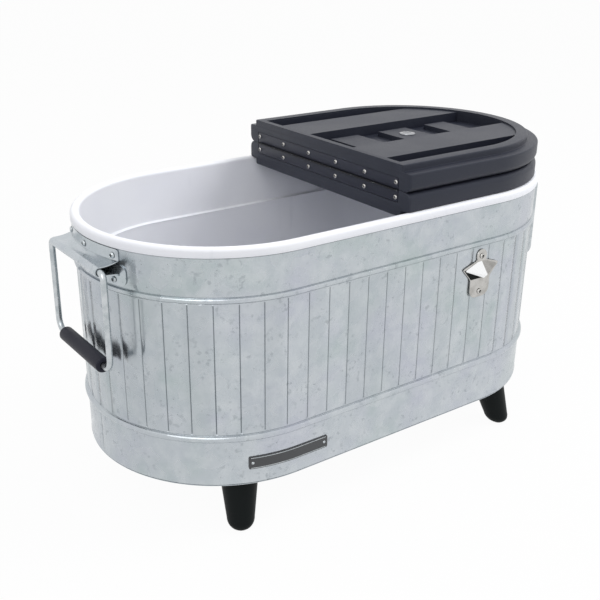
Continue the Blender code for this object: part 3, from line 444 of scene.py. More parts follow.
def buildHead(kind, name, place, outward, look, nodes=(), body="tub"):
    # domed head with a rolled rim and a punched dimple, then its shank
    radius, head, dimple, shank, length, steps, dark = heads[kind].values()
    profile = [(0, head - dimple), (radius * 0.36, head - dimple), (radius * 0.46, head - dimple * 0.35),
               (radius * 0.54, head)]
    for turn in (math.radians(angle) for angle in (52, 38, 24, 10)):
        profile.append((radius * math.cos(turn) ** 0.8, head * math.sin(turn)))
    profile += [(radius, 0), (shank, 0), (shank, -length), (0, -length)]
    finishPiece(name, turned(profile, steps, place, outward, dark), look, nodes, body)


# the ribbed shell

shell = dict(topZ=0.397, depth=0.0024, staves=60, grooveWidth=0.0034, grooveDepth=0.0014, runout=0.0018,
             flatten=0.0004, dent=0.00016, upperBead=(0.3352, 0.0034, 0.0027), creaseGap=0.0005,
             lowerBead=(0.144, 0.0046, 0.004), beadGap=0.0015, crease=0.0005, hem=0.0006, seamStave=45,
             seamDepth=0.0005)


def beadRows(z, half, rise):
    edge, gap, crease = half + shell["beadGap"], half + shell["creaseGap"], -shell["crease"]
    rows = [(z + half * math.cos(a), rise * math.sin(a), 0) for a in evenly(0, math.pi, 10)]
    return [(z + edge, 0, 0), (z + gap, crease, 0), *rows, (z - gap, crease, 0), (z - edge, 0, 0)]


def shellRows():
    # height, distance out of the wall and share of the groove's depth, from the lip to the hem and back
    upper, lower, gap = shell["upperBead"], shell["lowerBead"], shell["beadGap"]
    top, foot = tub["topZ"], tub["lowZ"]
    rows = [(z, 0, 0) for z in (shell["topZ"], top + 0.0005, top - 0.0012, top - 0.002)]
    rows += [(z, 0, 0) for z in evenly(top, upper[0] + upper[1] + gap, 5)[1:5]]
    rows += beadRows(*upper)
    high, low = upper[0] - upper[1] - gap, lower[0] + lower[1] + gap
    rows += [(high - shell["runout"] * share, 0, share ** 0.4) for share in (0.2, 0.6, 1)]
    rows += [(z, 0, 1) for z in evenly(high, low, 14)[1:14]]
    rows += [(low + shell["runout"] * share, 0, share ** 0.4) for share in (1, 0.6, 0.2)]
    rows += beadRows(*lower)
    rows += [(z, 0, 0) for z in evenly(lower[0] - lower[1] - gap, foot + 0.0042, 5)[1:]]
    rows += [(foot + rise, shell["hem"] * share, 0)
             for rise, share in ((0.003, 0.7), (0.0018, 1), (0.0006, 0.6), (0, -1))]
    return rows + [(foot, -shell["depth"], None), (shell["topZ"], -shell["depth"], None)]


def buildShell():
    pitch = girth / shell["staves"]
    width = shell["grooveWidth"]
    columns = [(-width / 2, 0.0), (-width / 4, 0.5), (0, 1.0), (width / 4, 0.5), (width / 2, 0.0),
               (pitch * 0.3, 0.0), (pitch * 0.5, 0.0), (pitch * 0.7, 0.0)]
    loops = []
    pressed, tones = {}, {}       # by the place of each point
    for z, out, groove in shellRows():
        points = []
        onBand = groove == 0 and out == 0
        for i in range(shell["staves"]):
            for shift, deep in columns:
                walk = i * pitch + shift
                radius = wallRadius(z) + out
                if groove is not None:
                    spot = ovalSpot(walk, radius, z)
                    radius -= shell["grooveDepth"] * deep * groove
                    across = max(0.0, 1 - (2 * shift / pitch - 1) ** 2)
                    if abs(spot.x) > halfStraight:      # staves stay nearly flat round the ends
                        radius -= shell["flatten"] * across * groove
                    wave = noise.noise(Vector((spot.x * 11, spot.y * 11, z * 9)))
                    radius += shell["dent"] * (wave - 0.4) * min(1, 60 * (tub["topZ"] - z)) * (1 - deep)
                # marked points are darkened by the finish: painted shade in the grooves and in the creases
                # beside the beads, painted shadow under the lip, and a dark line along the seam
                mark = deep * (groove or 0)
                if out == -shell["crease"] or abs(z - tub["topZ"]) < 0.0014:
                    mark = 0.9
                if onBand and i == shell["seamStave"] and deep:
                    radius -= shell["seamDepth"] * deep
                    mark = deep
                spot = ovalSpot(walk, radius, z)
                pressed[spotKey(spot)] = mark
                if groove:
                    tones[spotKey(spot)] = i
                points.append(spot)
        loops.append(points)
    bm = stackLoops(loops + [loops[0]])
    layer, tone = bm.verts.layers.float.new("pressed"), bm.verts.layers.float.new("tone")
    random.seed(7)
    shades = [random.random() for _ in range(shell["staves"])]
    for vert in bm.verts:
        key = spotKey(vert.co)
        vert[layer] = pressed.get(key, 0)
        vert[tone] = shades[tones[key]] if key in tones else 0.3
    finishPiece("tubShell", bm, galvanised, ["tub_shell"], angle=50)


buildShell()
print("shell done")


# liner, pan and feet

liner = dict(lipRadius=0.1958, topZ=0.4025, outerRound=0.005, innerRound=0.0045, skirt=0.0014, skirtZ=0.3903,
             underZ=0.3976, wallRadius=0.183, ledgeZ=0.325, ledgeStep=0.004, ledgeRise=0.003,
             draft=0.0045, floorZ=0.106, floorRound=0.02, ledgeRound=0.0012, ledgeLean=0.0008,
             stepRound=0.0016, skirtRound=0.0009, thickness=0.0032, foamGap=0.0011, columns=240)
drain = dict(x=0.12, bore=0.0115, wall=0.0025, flangeRadius=0.0235, flange=0.0028, nutRadius=0.0205,
             capWall=0.0022, capSides=72, capRib=0.0006)


def ovalBody(pairs):
    # a closed body of tub-shaped rings, given by half width and height
    walks = evenly(0, girth, liner["columns"])[:-1]
    return capped([[ovalSpot(walk, radius, z) for walk in walks] for radius, z in pairs])


def drilled(bm):
    # a closed body with the drain's hole through it
    drill = bmesh.new()
    radius = drain["bore"] + drain["wall"] + seatGap
    bmesh.ops.create_cone(drill, cap_ends=True, segments=48, radius1=radius, radius2=radius, depth=0.2,
                          matrix=Matrix.Translation((drain["x"], midY, 0.06)))
    return asBody(cutMesh(asMesh(facesOut(bm)), [drill]))


def linerOutside(wall):
    # the hidden side of the liner, or of a body that stands off it
    ledge, size = liner["wallRadius"] - liner["ledgeStep"], liner["floorRound"]
    return [(liner["wallRadius"] + wall, liner["ledgeZ"]), (ledge + wall, liner["ledgeZ"] - wall)] + quarter(
        ledge - liner["draft"] - size, liner["floorZ"] + size, size + wall, 0, -90)


def buildLiner():
    wall, top, lip = liner["thickness"], liner["topZ"], liner["lipRadius"]
    low, high = liner["wallRadius"] - liner["ledgeStep"], liner["wallRadius"]
    floor, ledge, step, skirt, inner, outer = (
        liner[key + "Round"] for key in ("floor", "ledge", "step", "skirt", "inner", "outer"))
    pairs = quarter(low - liner["draft"] - floor, liner["floorZ"] + floor, floor, -90, 0)
    pairs += quarter(low - liner["ledgeLean"], liner["ledgeZ"] - ledge, ledge, 0, 70, 4)
    pairs += quarter(high - step, liner["ledgeZ"] + liner["ledgeRise"], step, -80, 0, 4)
    pairs += quarter(high + inner, top - inner, inner, 180, 90)
    pairs += quarter(lip - outer, top - outer, outer, 90, 0)
    pairs += quarter(lip - skirt, liner["skirtZ"] + skirt, skirt, 0, -90, 3)
    back = lip - liner["skirt"]
    pairs += [(back, liner["skirtZ"]), (back, liner["underZ"]), (high + wall, liner["underZ"])]
    finishPiece("innerTub", drilled(ovalBody(pairs + linerOutside(wall))), whitePlastic, ["liner"], angle=45)


def buildFoam():
    # fills the space between liner and sheet, a small gap from both
    low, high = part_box("insulation")
    stand = shell["depth"] + liner["foamGap"]
    wall = liner["thickness"] + seatGap
    pairs = linerOutside(wall)[::-1] + [(liner["wallRadius"] + wall, high.z)]
    pairs += [(wallRadius(high.z) - stand, high.z), (wallRadius(low.z) - stand, low.z)]
    finishPiece("foamFill", drilled(ovalBody(pairs)), foam, ["insulation"])


def buildPan():
    low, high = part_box("bottom_pan")
    edge = wallRadius(tub["lowZ"])
    pairs = [(edge - 0.0005, low.z), (edge - 0.0001, low.z + 0.0002), (edge, (low.z + high.z) / 2),
             (edge - 0.0001, high.z - 0.0002), (edge - 0.0005, high.z)]
    finishPiece("panPlate", drilled(ovalBody(pairs)), galvanised, ["bottom_pan"])


foot = dict(out=0.062, inset=0.051, splayX=0.012, splayY=0.0225, topRadius=0.0265, lowRadius=0.019,
            round=0.014, pad=0.009, columns=56)


def buildFoot(label, node, sideX, sideY):
    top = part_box(node)[1].z
    pairs = [(foot["topRadius"] - 0.0006, top), (foot["topRadius"], top - 0.0006)]
    size, pad = foot["round"], foot["pad"]
    pairs += [pair for pair in quarter(foot["lowRadius"] - size, size, size, 0, -90, 14) if pair[0] > pad]
    pairs.append((pad, 0))
    loops = []
    for radius, z in pairs:
        lean = 1 - z / top
        x = sideX * (halfStraight + foot["out"] + foot["splayX"] * lean)
        y = midY + sideY * (tub["radius"] - foot["inset"] + foot["splayY"] * lean)
        loops.append(circle(x, y, z, [radius] * foot["columns"]))
    finishPiece(label, capped(loops), footPlastic, [node])


buildLiner()
buildFoam()
buildPan()
for row, sideY in (("front", -1), ("rear", 1)):
    for hand, sideX in (("left", -1), ("right", 1)):
        buildFoot(f"foot{row.title()}{hand.title()}", f"foot_{row}_{hand}", sideX, sideY)
print("liner, pan and feet done")


# end handles

handle = dict(rodRadius=0.0041, rodZ=0.3655, halfWidth=0.08, drop=0.1285, topBend=0.0085, lowBend=0.016,
              gripRadius=0.01, gripHalf=0.06, gripRound=0.0026, sheet=0.0012, wrapGap=0.0007, topZ=0.389,
              foldZ=0.3738, tuckZ=0.3572, lowZ=0.3425, earZ=0.3695, half=0.0695, lowHalf=0.079,
              corner=0.009, sag=0.001)
rodX = sum(corner.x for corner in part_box("bail_right")) / 2


def buildBail(side, label):
    low = handle["rodZ"] - handle["drop"]
    points = [(0.0005, low)]
    for hand, level, start in ((1, "low", -90), (1, "top", 0), (-1, "top", 90), (-1, "low", 180)):
        bend = handle[level + "Bend"]
        centreZ = low + bend if level == "low" else handle["rodZ"] - bend
        points += quarter(hand * (handle["halfWidth"] - bend), centreZ, bend, start, start + 90)
    points.append((-0.0005, low))
    curve = bpy.data.curves.new("bail", "CURVE")
    curve.dimensions = "3D"
    curve.bevel_depth = handle["rodRadius"]
    curve.bevel_resolution = 5
    curve.use_fill_caps = True
    line = curve.splines.new("POLY")
    line.points.add(len(points) - 1)
    for spot, (y, z) in zip(line.points, points):
        spot.co = (side * rodX, midY + y, z, 1)
    wire = placed("bail", curve)
    mesh = settled(wire)
    bpy.data.objects.remove(wire, do_unlink=True)
    finishPiece("bail" + label.title(), asBody(mesh), zincWire, ["bail_" + label], label + "_bail")


def buildGrip(side, label):
    edge, half, size = handle["gripRadius"], handle["gripHalf"], handle["gripRound"]
    bore = handle["rodRadius"] + 0.0004
    profile = [(bore, half - 0.0012), (bore + 0.0008, half)]
    profile += quarter(edge - size, half - size, size, 90, 0, 6)
    profile += [(edge, half * share) for share in (0.6, 0.2, -0.2, -0.6)]
    profile += quarter(edge - size, -half + size, size, 0, -90, 6)
    profile += [(bore + 0.0008, -half), (bore, -half + 0.0012), (bore, half - 0.0012)]
    bm = turned(profile, 40, (side * rodX, midY, handle["rodZ"] - handle["drop"]), (0, 1, 0))
    finishPiece("grip" + label.title(), bm, gripPlastic, ["grip_" + label], label + "_grip")


def buildBracket(side, label):
    out = seatGap + handle["sheet"] / 2
    shares = evenly(-1, 1, 40)
    wrap = handle["rodRadius"] + handle["wrapGap"] + handle["sheet"] / 2
    over = handle["sheet"] + 0.0001

    def onWall(half, z, away=0.0):
        return [endSpot(side, half * share, z, out + away) for share in shares]

    def onRod(turn):
        x = rodX + wrap * math.cos(math.radians(turn))
        z = handle["rodZ"] + wrap * math.sin(math.radians(turn))
        return [Vector((side * x, midY + handle["half"] * share, z)) for share in shares]

    half, top, fold, tuck = handle["half"], handle["topZ"], handle["foldZ"], handle["tuckZ"]
    strap = [onWall(half - 0.0035, top), onWall(half - 0.0008, top - 0.001), onWall(half, top - 0.0032),
             onWall(half, fold + 0.002), onWall(half, fold + 0.0004, 0.0009)]
    wall, rod = onWall(half, fold + 0.0004, 0.0009), onRod(100)
    for share in (0.12, 0.3, 0.5, 0.7, 0.88):
        sag = Vector((0, 0, -handle["sag"] * math.sin(math.pi * share)))
        strap.append([a.lerp(b, share) + sag for a, b in zip(wall, rod)])
    strap += [onRod(turn) for turn in range(100, -91, -14)]
    strap += [onWall(half, tuck + 0.0006, 0.0011 + over), onWall(half, tuck - 0.001, over),
              onWall(half, tuck - 0.002, over)]
    low, ear, corner, wide = handle["lowZ"], handle["earZ"], handle["corner"], handle["lowHalf"]
    turns = evenly(0, math.pi / 2, 7)
    pad = [onWall(wide - corner * (1 - math.sin(a)), ear - corner * (1 - math.cos(a))) for a in turns]
    pad += [onWall(wide - corner * (1 - math.cos(a)), low + corner * (1 - math.sin(a))) for a in turns]
    bm = bmesh.new()
    for rows in (strap, pad):
        sheet = stackLoops(rows, ring=False)
        # painted shade: the fold row where the strap turns out from the wall is marked dark
        dark = sheet.verts.layers.float.new("pressed")
        folds = {spotKey(point) for point in strap[4]}
        for vert in sheet.verts:
            vert[dark] = 0.8 if spotKey(vert.co) in folds else 0
        # half the thickness to each side of the drawn rows
        facesOut(sheet).normal_update()
        for vert in sheet.verts:
            vert.co += vert.normal * handle["sheet"] / 2
        bmesh.ops.solidify(sheet, geom=sheet.faces[:], thickness=handle["sheet"])
        bm.from_mesh(asMesh(facesOut(sheet)))
    finishPiece("bracket" + label.title(), bm, bracketSteel, ["handle_bracket_" + label])


rivet = dict(upperZ=0.3803, lowerZ=0.349, spread=0.0605)


def buildRivets(side, label):
    for row, z in (("upper", rivet["upperZ"]), ("lower", rivet["lowerZ"])):
        for place, y in (("front", -rivet["spread"]), ("middle", 0), ("rear", rivet["spread"])):
            angle = math.asin(y / wallRadius(z))
            outward = (side * math.cos(angle), math.sin(angle), 0)
            buildHead("rivet", f"rivet{label.title()}{row.title()}{place.title()}",
                      endSpot(side, y, z, handle["sheet"] + 2 * seatGap), outward, zincWire,
                      [f"rivet_{label}_{row}_{place}"])


for label, side in (("left", -1), ("right", 1)):
    buildBail(side, label)
    buildGrip(side, label)
    buildBracket(side, label)
    buildRivets(side, label)
print("handles done")


# lid halves, stacked on the right half

lid = dict(faceX=0.0021, gap=0.0002, flangeRadius=0.19, flange=0.0255, flangeRound=0.0095, lowRound=0.0025,
           flangeCorner=0.003, underFall=0.0004, plugRadius=0.174, plug=0.0095, plugRound=0.002,
           plugRoot=0.0012, plugCorner=0.0018, wall=0.017, start=0.009, barDrop=0.0025, barInner=0.051,
           barOuter=0.1228, trough=0.018, draft=0.0008, blockDrop=0.0105, blockHalf=0.036, arcSteps=72,
           edge=0.001, blocks=((0.046, 0.0975), (0.1385, 0.1938), (0.2347, 0.277)))
hingeZ = sum(corner.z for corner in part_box("hinge_pin")) / 2


def lidRing(radius, corner, depth):
    # straight face, small rounded corners, round end
    side = [(lid["faceX"] + corner * (1 - math.cos(a)), radius - corner * (1 - math.sin(a)))
            for a in evenly(0, math.pi / 2, 5)]
    points = [(x, -y) for x, y in side]
    points += [(halfStraight + radius * math.sin(a), -radius * math.cos(a))
               for a in evenly(0, math.pi, lid["arcSteps"])]
    return [Vector((x, midY + y, depth)) for x, y in points + side[::-1]]


def lidRows():
    # half width, corner and depth of each ring, from the outer face down to the plug's underside
    flange, plug, thick = lid["flangeRadius"], lid["plugRadius"], lid["flange"]
    low = thick + lid["plug"]
    edge, small, root, size = lid["flangeRound"], lid["lowRound"], lid["plugRoot"], lid["plugRound"]
    arcs = (("flangeCorner", flange - edge, -edge, edge, 90, 0, 9),
            ("flangeCorner", flange - small, -thick + small, small, 0, -90, 4),
            ("plugCorner", plug + root, -(thick + lid["underFall"]) - root, root, 90, 180, 3),
            ("plugCorner", plug - size, -low + size, size, 0, -90, 4))
    return [(radius, lid[corner], -z) for corner, *arc in arcs for radius, z in quarter(*arc)]


def insideOutline(radius, startX, lowY, highY):
    first, last = math.asin(max(-1, lowY / radius)), math.asin(min(1, highY / radius))
    points = [(halfStraight + radius * math.cos(a), radius * math.sin(a)) for a in evenly(first, last, 36)]
    return [(startX, radius * math.sin(first)), *points, (startX, radius * math.sin(last))]


def recess(points, depth, draft=0.0):
    # a pocket cutter, open past the underside, its walls drawn in towards the bottom
    under = lid["flange"] + lid["plug"]
    over = 0.004
    centre = sum((Vector(p) for p in points), Vector((0, 0))) / len(points)

    def level(z, inward):
        moved = [Vector(p) + (centre - Vector(p)).normalized() * inward for p in points]
        return [Vector((p.x, midY + p.y, z)) for p in moved]

    return capped([level(under + over, -draft * over / depth), level(under - depth, draft)])


def lidCutters():
    inside = lid["plugRadius"] - lid["wall"]
    inner = inside - seatGap
    start = lid["faceX"] + lid["start"]
    cutters = [recess(insideOutline(inside, start, -inside, inside), lid["barDrop"])]
    start += seatGap
    outer, middle = lid["barOuter"], lid["barInner"]
    for low, high in ((-inner, -outer), (outer, inner), (-middle, middle)):
        cutters.append(recess(insideOutline(inner, start, low, high), lid["trough"], lid["draft"]))
    seat = bmesh.new()
    addBlock(seat, (lid["faceX"] - 0.004, midY - leaf["half"] - 0.001, -0.004),
             (lid["faceX"] + leaf["sheet"] + seatGap, midY + leaf["half"] + 0.001, leaf["height"] + seatGap))
    cutters.append(seat)
    return cutters


def lidBlocks():
    # drafted blocks that stand in the centre trough
    under = lid["flange"] + lid["plug"]
    low, high = under - lid["trough"] - 0.001, under - lid["blockDrop"]
    made = []
    for first, last in lid["blocks"]:
        levels = []
        for z, spread in ((low, lid["draft"]), (high, 0)):
            half, left, right = lid["blockHalf"] + spread, first - spread, last + spread
            corners = ((left, -half), (right, -half), (right, half), (left, half))
            levels.append([Vector((x, midY + y, z)) for x, y in corners])
        made.append(capped(levels))
    return made


leaf = dict(sheet=0.0012, half=0.166, height=0.0165, start=0.0012, knuckle=0.0011, count=7, gapY=0.0005,
            edge=0.0003, screwZ=0.0102, screwPitch=0.0647, screws=6)


def flipTo(mesh, up):
    # the half is drawn with its outer face at height 0 and its plug above: set it on the split line
    bm = asBody(mesh)
    if up < 0:
        bmesh.ops.scale(bm, verts=bm.verts, vec=(1, 1, -1))
    bmesh.ops.translate(bm, verts=bm.verts, vec=(0, 0, hingeZ + up * lid["gap"]))
    return bm


def buildLidHalves():
    blank = facesOut(capped([lidRing(*row) for row in lidRows()]))
    cut = cutMesh(cutMesh(asMesh(blank), lidCutters()), lidBlocks(), operation="UNION")
    for label, up, body in (("base", -1, "lid_base"), ("folding", 1, "lid_fold")):
        piece = finishPiece("lid" + label.title(), flipTo(cut, up), lidPlastic, [f"lid_{label}_half"], body,
                            angle=30)
        edge = piece.modifiers.new("moulded edges", "BEVEL")
        edge.width = lid["edge"]
        edge.segments = 3
        edge.limit_method = "ANGLE"
        edge.angle_limit = math.radians(38)
        edge.harden_normals = True


def buildLeaf(label, up, which, body):
    def level(z):
        return hingeZ + up * z

    bm = bmesh.new()
    bm.verts.layers.float.new("pressed")
    radius, edge = leaf["knuckle"], leaf["edge"]
    first, last = sorted((level(leaf["start"]), level(leaf["height"])))
    addBlock(bm, (lid["faceX"], midY - leaf["half"], first),
             (lid["faceX"] + leaf["sheet"], midY + leaf["half"], last), bevel=edge)
    length = 2 * leaf["half"] / leaf["count"]
    for i in range(which, leaf["count"], 2):
        # a knuckle and its short arm, darkened all over as painted shade in the hinge line
        low = midY - leaf["half"] + i * length + leaf["gapY"] / 2
        high = low + length - leaf["gapY"]
        first, last = sorted((level(0.0002), level(radius)))
        barrel = turned([(0, high - low), (radius - edge, high - low), (radius, high - low - edge),
                         (radius, edge), (radius - edge, 0), (0, 0)], 20, (0, low, hingeZ), (0, 1, 0))
        addBlock(barrel, (0.0004, low + edge, first),
                 (lid["faceX"] + leaf["sheet"] / 2, high - edge, last))
        dark = barrel.verts.layers.float["pressed"]
        for vert in barrel.verts:
            vert[dark] = 1
        bm.from_mesh(asMesh(barrel))
    finishPiece("hingeLeaf" + label.title(), bm, hingePlastic, ["hinge_leaf_" + label], body)
    for i in range(leaf["screws"]):
        y = leaf["screwPitch"] * (i - (leaf["screws"] - 1) / 2)
        buildHead("leafScrew", f"hingeScrew{label.title()}{i + 1}",
                  (lid["faceX"] - seatGap, midY + y, level(leaf["screwZ"])), (-1, 0, 0), stainless,
                  [f"hinge_screw_{label}_{i + 1}"], body)


def buildFillPlug(label, up, body):
    level = hingeZ + up * (lid["gap"] + lid["flange"] + lid["plug"] - lid["blockDrop"] + seatGap)
    profile = [(0, 0.001), (0.005, 0.001), (0.0058, 0.0007), (0.0066, 0.0013), (0.0108, 0.0014),
               (0.0119, 0.001), (0.0123, 0.0004), (0.0123, 0), (0.007, 0), (0.007, -0.006), (0, -0.006)]
    bm = turned(profile, 48, (sum(lid["blocks"][1]) / 2, midY, level), (0, 0, up))
    finishPiece("fillPlug" + label.title(), bm, plugMetal, ["fill_plug_" + label], body)


buildLidHalves()
for label, up, which, body in (("base", -1, 0, "lid_base"), ("folding", 1, 1, "lid_fold")):
    buildLeaf(label, up, which, body)
    buildFillPlug(label, up, body)
print("lid done")


# bottle opener

opener = dict(x=0.143, sheet=0.0014, topZ=0.3268, tabHalf=0.0098, neckHalf=0.0088, neckZ=0.3098,
              wingHalf=0.035, wingZ=0.3016, shoulderHalf=0.0192, shoulderZ=0.2832, lowZ=0.2542,
              lowRound=0.0125, hoodTopZ=0.3085, lipZ=0.2918, lipLift=0.0078, hoodTopHalf=0.0075,
              hoodHalf=0.031, hoodDepth=0.0125, tooth=0.0055, screwUpperZ=0.3168, screwLowerZ=0.263)


def openerOutline():
    # right half of the stamped plate from top to bottom, then the same mirrored
    neck, neckZ, wing, wingZ, shoulder, shoulderZ, tab, low = (
        opener[key] for key in ("neckHalf", "neckZ", "wingHalf", "wingZ", "shoulderHalf", "shoulderZ",
                                "tabHalf", "lowRound"))
    side = quarter(0, opener["topZ"] - tab, tab, 90, -20, 14)
    side += [(neck, neckZ + 0.002), (neck + 0.0022, neckZ), (wing - 0.003, wingZ + 0.0016),
             (wing, wingZ - 0.0008), (wing - 0.0016, wingZ - 0.003),
             (shoulder + 0.0012, shoulderZ + 0.0012), (shoulder, shoulderZ - 0.0015)]
    side += quarter(shoulder - low, opener["lowZ"] + low, low, 0, -90, 10)
    return side + [(-x, z) for x, z in reversed(side) if x > 0.0001]


def slab(outline, front, back, edge):
    # a flat plate standing on the wall, its front edge softened
    middle = Vector((0, sum(z for x, z in outline) / len(outline)))
    loops = []
    for y, inset in ((back, 0), (front + edge, 0), (front, edge)):
        moved = [Vector(point) + (middle - Vector(point)).normalized() * inset for point in outline]
        loops.append([Vector((opener["x"] + point.x, y, point.y)) for point in moved])
    return facesOut(capped(loops))


def openerHood():
    # two facets that meet in a ridge, with a tooth turned in under the lip
    shares = evenly(-1, 1, 24)
    front = midY - tub["radius"] - seatGap - opener["sheet"] / 2
    top, fall, tooth = opener["hoodTopZ"], opener["lipZ"] - opener["hoodTopZ"], opener["tooth"]
    rows = []
    for down in evenly(0, 1, 10):
        half = opener["hoodTopHalf"] + (opener["hoodHalf"] - opener["hoodTopHalf"]) * down
        row = []
        for share in shares:
            ridge = 1 - math.sqrt(share * share + 0.0016) + 0.04 * share * share
            y = front - opener["hoodDepth"] * down * max(0, ridge)
            z = top + (fall + opener["lipLift"] * abs(share)) * down
            row.append(Vector((opener["x"] + half * share, y, z)))
        rows.append(row)
    rows.append([point + Vector((0, tooth * 0.9 * (1 - abs(share)), -tooth * (1 - abs(share))))
                 for share, point in zip(shares, rows[-1])])
    bm = stackLoops(rows, ring=False)
    # painted light on the hood: the left facet is marked for a painted highlight, the right facet for painted
    # shade
    bright, dark = bm.verts.layers.float.new("tone"), bm.verts.layers.float.new("pressed")
    for vert in bm.verts:
        side = (vert.co.x - opener["x"]) / opener["hoodHalf"]
        vert[bright] = 1 if side < 0.01 else 0
        vert[dark] = 0.5 if side > 0.03 else 0
    bmesh.ops.remove_doubles(bm, verts=bm.verts, dist=weld)
    faceNear(bm)
    bmesh.ops.solidify(bm, geom=bm.faces[:], thickness=-opener["sheet"] * 0.7)
    return bm


def buildOpener():
    back = midY - tub["radius"] - seatGap
    front = back - opener["sheet"]
    plate = slab(openerOutline(), front, back, 0.0004)
    for name in ("tone", "pressed"):
        plate.verts.layers.float.new(name)
    plate.from_mesh(asMesh(openerHood()))
    finishPiece("bottleOpener", plate, stainless, ["bottle_opener"], angle=28)
    # a black sheet over the punched mouth under the hood: painted shadow of the hood
    wing, shoulder = opener["wingHalf"] - 0.0012, opener["shoulderHalf"] - 0.0004
    low = opener["shoulderZ"] + 0.0002
    hole = [(0, opener["hoodTopZ"] - 0.006), (0.02, opener["wingZ"] - 0.001), (0.012, low),
            (-shoulder, low), (-wing, opener["wingZ"] - 0.0012)]
    mouth = slab(hole, front - 0.0001, front + 0.0002, 0.00005)
    finishPiece("openerMouthShadow", mouth, mouthShadow)
    for label, z in (("upper", opener["screwUpperZ"]), ("lower", opener["screwLowerZ"])):
        buildHead("openerScrew", "openerScrew" + label.title(), (opener["x"], front - seatGap, z), (0, -1, 0),
                  stainless, ["opener_screw_" + label])


buildOpener()
print("opener done")


# drain under the floor

def buildDrain():
    place = (drain["x"], midY)
    low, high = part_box("drain_spout")
    bore, flange, top = drain["bore"], drain["flangeRadius"], high.z
    outer, flangeLow = bore + drain["wall"], top - drain["flange"]
    profile = [(bore, top - 0.0004), (bore + 0.0006, top), (flange - 0.0012, top), (flange, top - 0.0012),
               (flange, flangeLow), (outer, flangeLow), (outer, low.z), (bore, low.z), (bore, top - 0.0004)]
    bm = turned(profile, 48, (*place, 0), (0, 0, 1))
    finishPiece("drainSpout", bm, whitePlastic, ["drain_spout"])

    # the nut's six sides are drawn in from its corners
    low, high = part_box("drain_nut")
    inner, outside = outer + 0.0005, drain["nutRadius"]
    hexagon = [outside * (0.9 + 0.1 * abs(math.cos(a))) for a in evenly(0, 6 * math.pi, 48)[:-1]]
    loops = [circle(*place, z, radii) for radii, z in
             (([inner] * 48, high.z), (hexagon, high.z), (hexagon, low.z), ([inner] * 48, low.z))]
    bm = stackLoops(loops + [loops[0]])
    finishPiece("drainNut", bm, hingePlastic, ["drain_nut"])

    low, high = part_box("drain_cap")
    outside, sides = inner + drain["capWall"], drain["capSides"]
    ribs = [outside - (0 if i % 3 else drain["capRib"]) for i in range(sides)]
    loops = [circle(*place, z, radii) for radii, z in
             (([inner] * sides, low.z + drain["capWall"]), ([inner] * sides, high.z), (ribs, high.z),
              (ribs, low.z + 0.0015), ([outside - 0.0015] * sides, low.z))]
    finishPiece("drainCap", capped(loops), hingePlastic, ["drain_cap"], "cap")


buildDrain()


# bare plate on the near lower band

plate = dict(start=-0.245, end=-0.127, lowZ=0.0965, highZ=0.1145, thickness=0.0011, border=0.0011,
             borderWidth=0.0009, borderRise=0.0003, rivetInset=0.0055, steps=40)


def buildPlate():
    # it starts round the corner of the tub's left end
    low, tall = plate["lowZ"], plate["highZ"] - plate["lowZ"]
    start = -halfStraight - tub["radius"] * math.asin((-halfStraight - plate["start"]) / tub["radius"])
    walks = evenly(start, plate["end"], plate["steps"])

    def onBand(walk, z, out=0.0):
        return ovalSpot(walk, wallRadius(z) + seatGap + plate["thickness"] + out, z)

    rows = []
    for share, inset in ((0, 0.0012), (0.06, 0.0004), (0.14, 0), (0.5, 0), (0.86, 0), (0.94, 0.0004),
                         (1, 0.0012)):
        ends = [walks[0] + inset, *walks[1:-1], walks[-1] - inset]
        rows.append([onBand(walk, low + tall * share) for walk in ends])
    bm = stackLoops(rows, ring=False)
    faceNear(bm)
    bmesh.ops.solidify(bm, geom=bm.faces[:], thickness=plate["thickness"])
    finishPiece("namePlate", bm, plateSteel)

    border = bmesh.new()
    inset, edge, rise = plate["border"], plate["borderWidth"], plate["borderRise"]
    for first, last in ((inset, inset + edge), (tall - inset - edge, tall - inset)):
        lines = [[onBand(walk, low + z, out) for walk in walks[1:-1]]
                 for z, out in ((first, 0), (first, rise), (last, rise), (last, 0))]
        border.from_mesh(asMesh(stackLoops(lines + [lines[0]], ring=False)))
    bmesh.ops.remove_doubles(border, verts=border.verts, dist=weld)
    bmesh.ops.holes_fill(border, edges=[edge for edge in border.edges if edge.is_boundary], sides=8)
    finishPiece("plateBorder", border, zincWire)

    z = low + tall / 2
    for label, walk in (("Left", walks[0] + plate["rivetInset"]), ("Right", walks[-1] - plate["rivetInset"])):
        outward = (ovalSpot(walk, 1, z) - ovalSpot(walk, 0, z)).normalized()
        buildHead("plateRivet", "plateRivet" + label, onBand(walk, z), outward, zincWire)


buildPlate()
print("small pieces done")


# the frame's own nodes that stay in view

for name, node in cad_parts.items():
    if name.startswith(("hinge_pin", "foot_bolt")):
        node.data.materials.clear()
        node.data.materials.append(zincWire)


# floor, light and camera

studio = dict(floorSize=30, floorColour=(0.74, 0.745, 0.75), worldLight=0.55, whiteShare=0.96)
lamps = dict(
    key=dict(place=(-1.9, -1.3, 2.3), size=1.9, power=20, gloss=True),
    inside=dict(place=(1.5, -0.9, 2.1), size=1.3, power=36, gloss=False),
    top=dict(place=(-0.4, 0.3, 2.6), size=2.2, power=13, gloss=False))


def seenByCamera(tree):
    # camera, glossy and transmission rays all see the white ground
    path = tree.nodes.new("ShaderNodeLightPath")
    total = path.outputs["Is Camera Ray"]
    for name in ("Is Glossy Ray", "Is Transmission Ray"):
        both = tree.nodes.new("ShaderNodeMath")
        both.operation = "MAXIMUM"
        tree.links.new(total, both.inputs[0])
        tree.links.new(path.outputs[name], both.inputs[1])
        total = both.outputs[0]
    return total


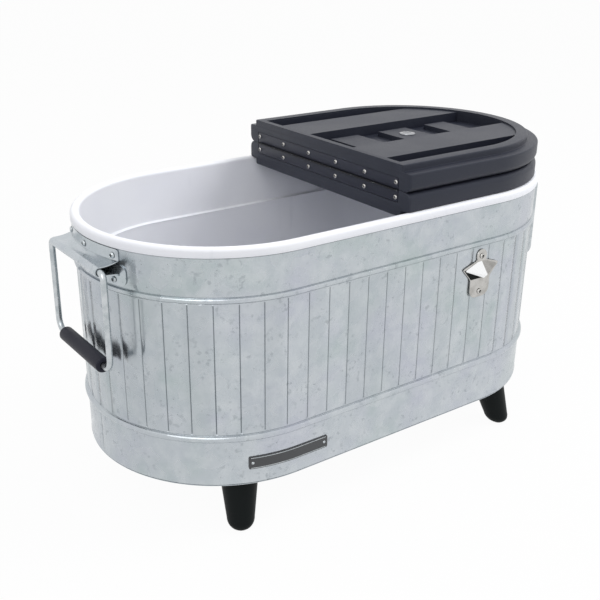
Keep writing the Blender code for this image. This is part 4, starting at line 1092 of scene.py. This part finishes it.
def buildStudio():
    bm = bmesh.new()
    bmesh.ops.create_grid(bm, x_segments=1, y_segments=1, size=studio["floorSize"] / 2)
    bmesh.ops.translate(bm, verts=bm.verts, vec=(0, 0, -0.0002))
    floor = placed("studioFloor", asMesh(bm, "studioFloor"))
    ground = Finish("studio_floor", Roughness=0.9)
    ground.set(Base_Color=studio["floorColour"])
    white = Wire(ground, seenByCamera(ground.tree)) * studio["whiteShare"]
    matt = Wire(ground, ground.shader.outputs[0])
    glow = ground.node("Emission", {"Color": (1, 1, 1)})
    blend = ground.node("MixShader", {0: white, 1: matt, 2: glow})
    ground.feed(ground.tree.nodes["Material Output"].inputs[0], blend)
    floor.data.materials.append(ground.material)

    world = bpy.data.worlds.new("studio")
    world.use_nodes = True
    bpy.context.scene.world = world
    tree = world.node_tree
    sky = tree.nodes["Background"]
    sky.inputs["Color"].default_value = (1, 1, 1, 1)
    level = tree.nodes.new("ShaderNodeMapRange")
    level.inputs["To Min"].default_value = studio["worldLight"]
    level.inputs["To Max"].default_value = 1
    tree.links.new(seenByCamera(tree), level.inputs["Value"])
    tree.links.new(level.outputs[0], sky.inputs["Strength"])

    for name, lamp in lamps.items():
        light = bpy.data.lights.new(name, "AREA")
        light.size = lamp["size"]
        light.energy = lamp["power"]
        holder = placed(name, light)
        place = Vector(lamp["place"])
        holder.location = place
        holder.visible_glossy = lamp["gloss"]
        holder.rotation_euler = (Vector((0, 0, 0.25)) - place).to_track_quat("-Z", "Y").to_euler()


view = dict(place=(-0.7927, -1.0399, 0.7604), azimuth=-36.0933, elevation=22.6411, roll=0.5958, lens=55.22)


def buildCamera():
    camera = bpy.data.cameras.new("portrait")
    camera.lens = view["lens"]
    camera.sensor_fit = "HORIZONTAL"
    holder = placed("portrait", camera)
    azimuth, elevation, roll = (math.radians(view[k]) for k in ("azimuth", "elevation", "roll"))
    turn = (Matrix.Rotation(azimuth, 4, "Z") @ Matrix.Rotation(math.pi / 2 - elevation, 4, "X")
            @ Matrix.Rotation(roll, 4, "Z"))
    holder.matrix_world = Matrix.Translation(Vector(view["place"]) + Vector((0, midY, 0))) @ turn
    bpy.context.scene.camera = holder
    bpy.context.scene.view_settings.view_transform = "Standard"


buildStudio()
buildCamera()
print("studio done")
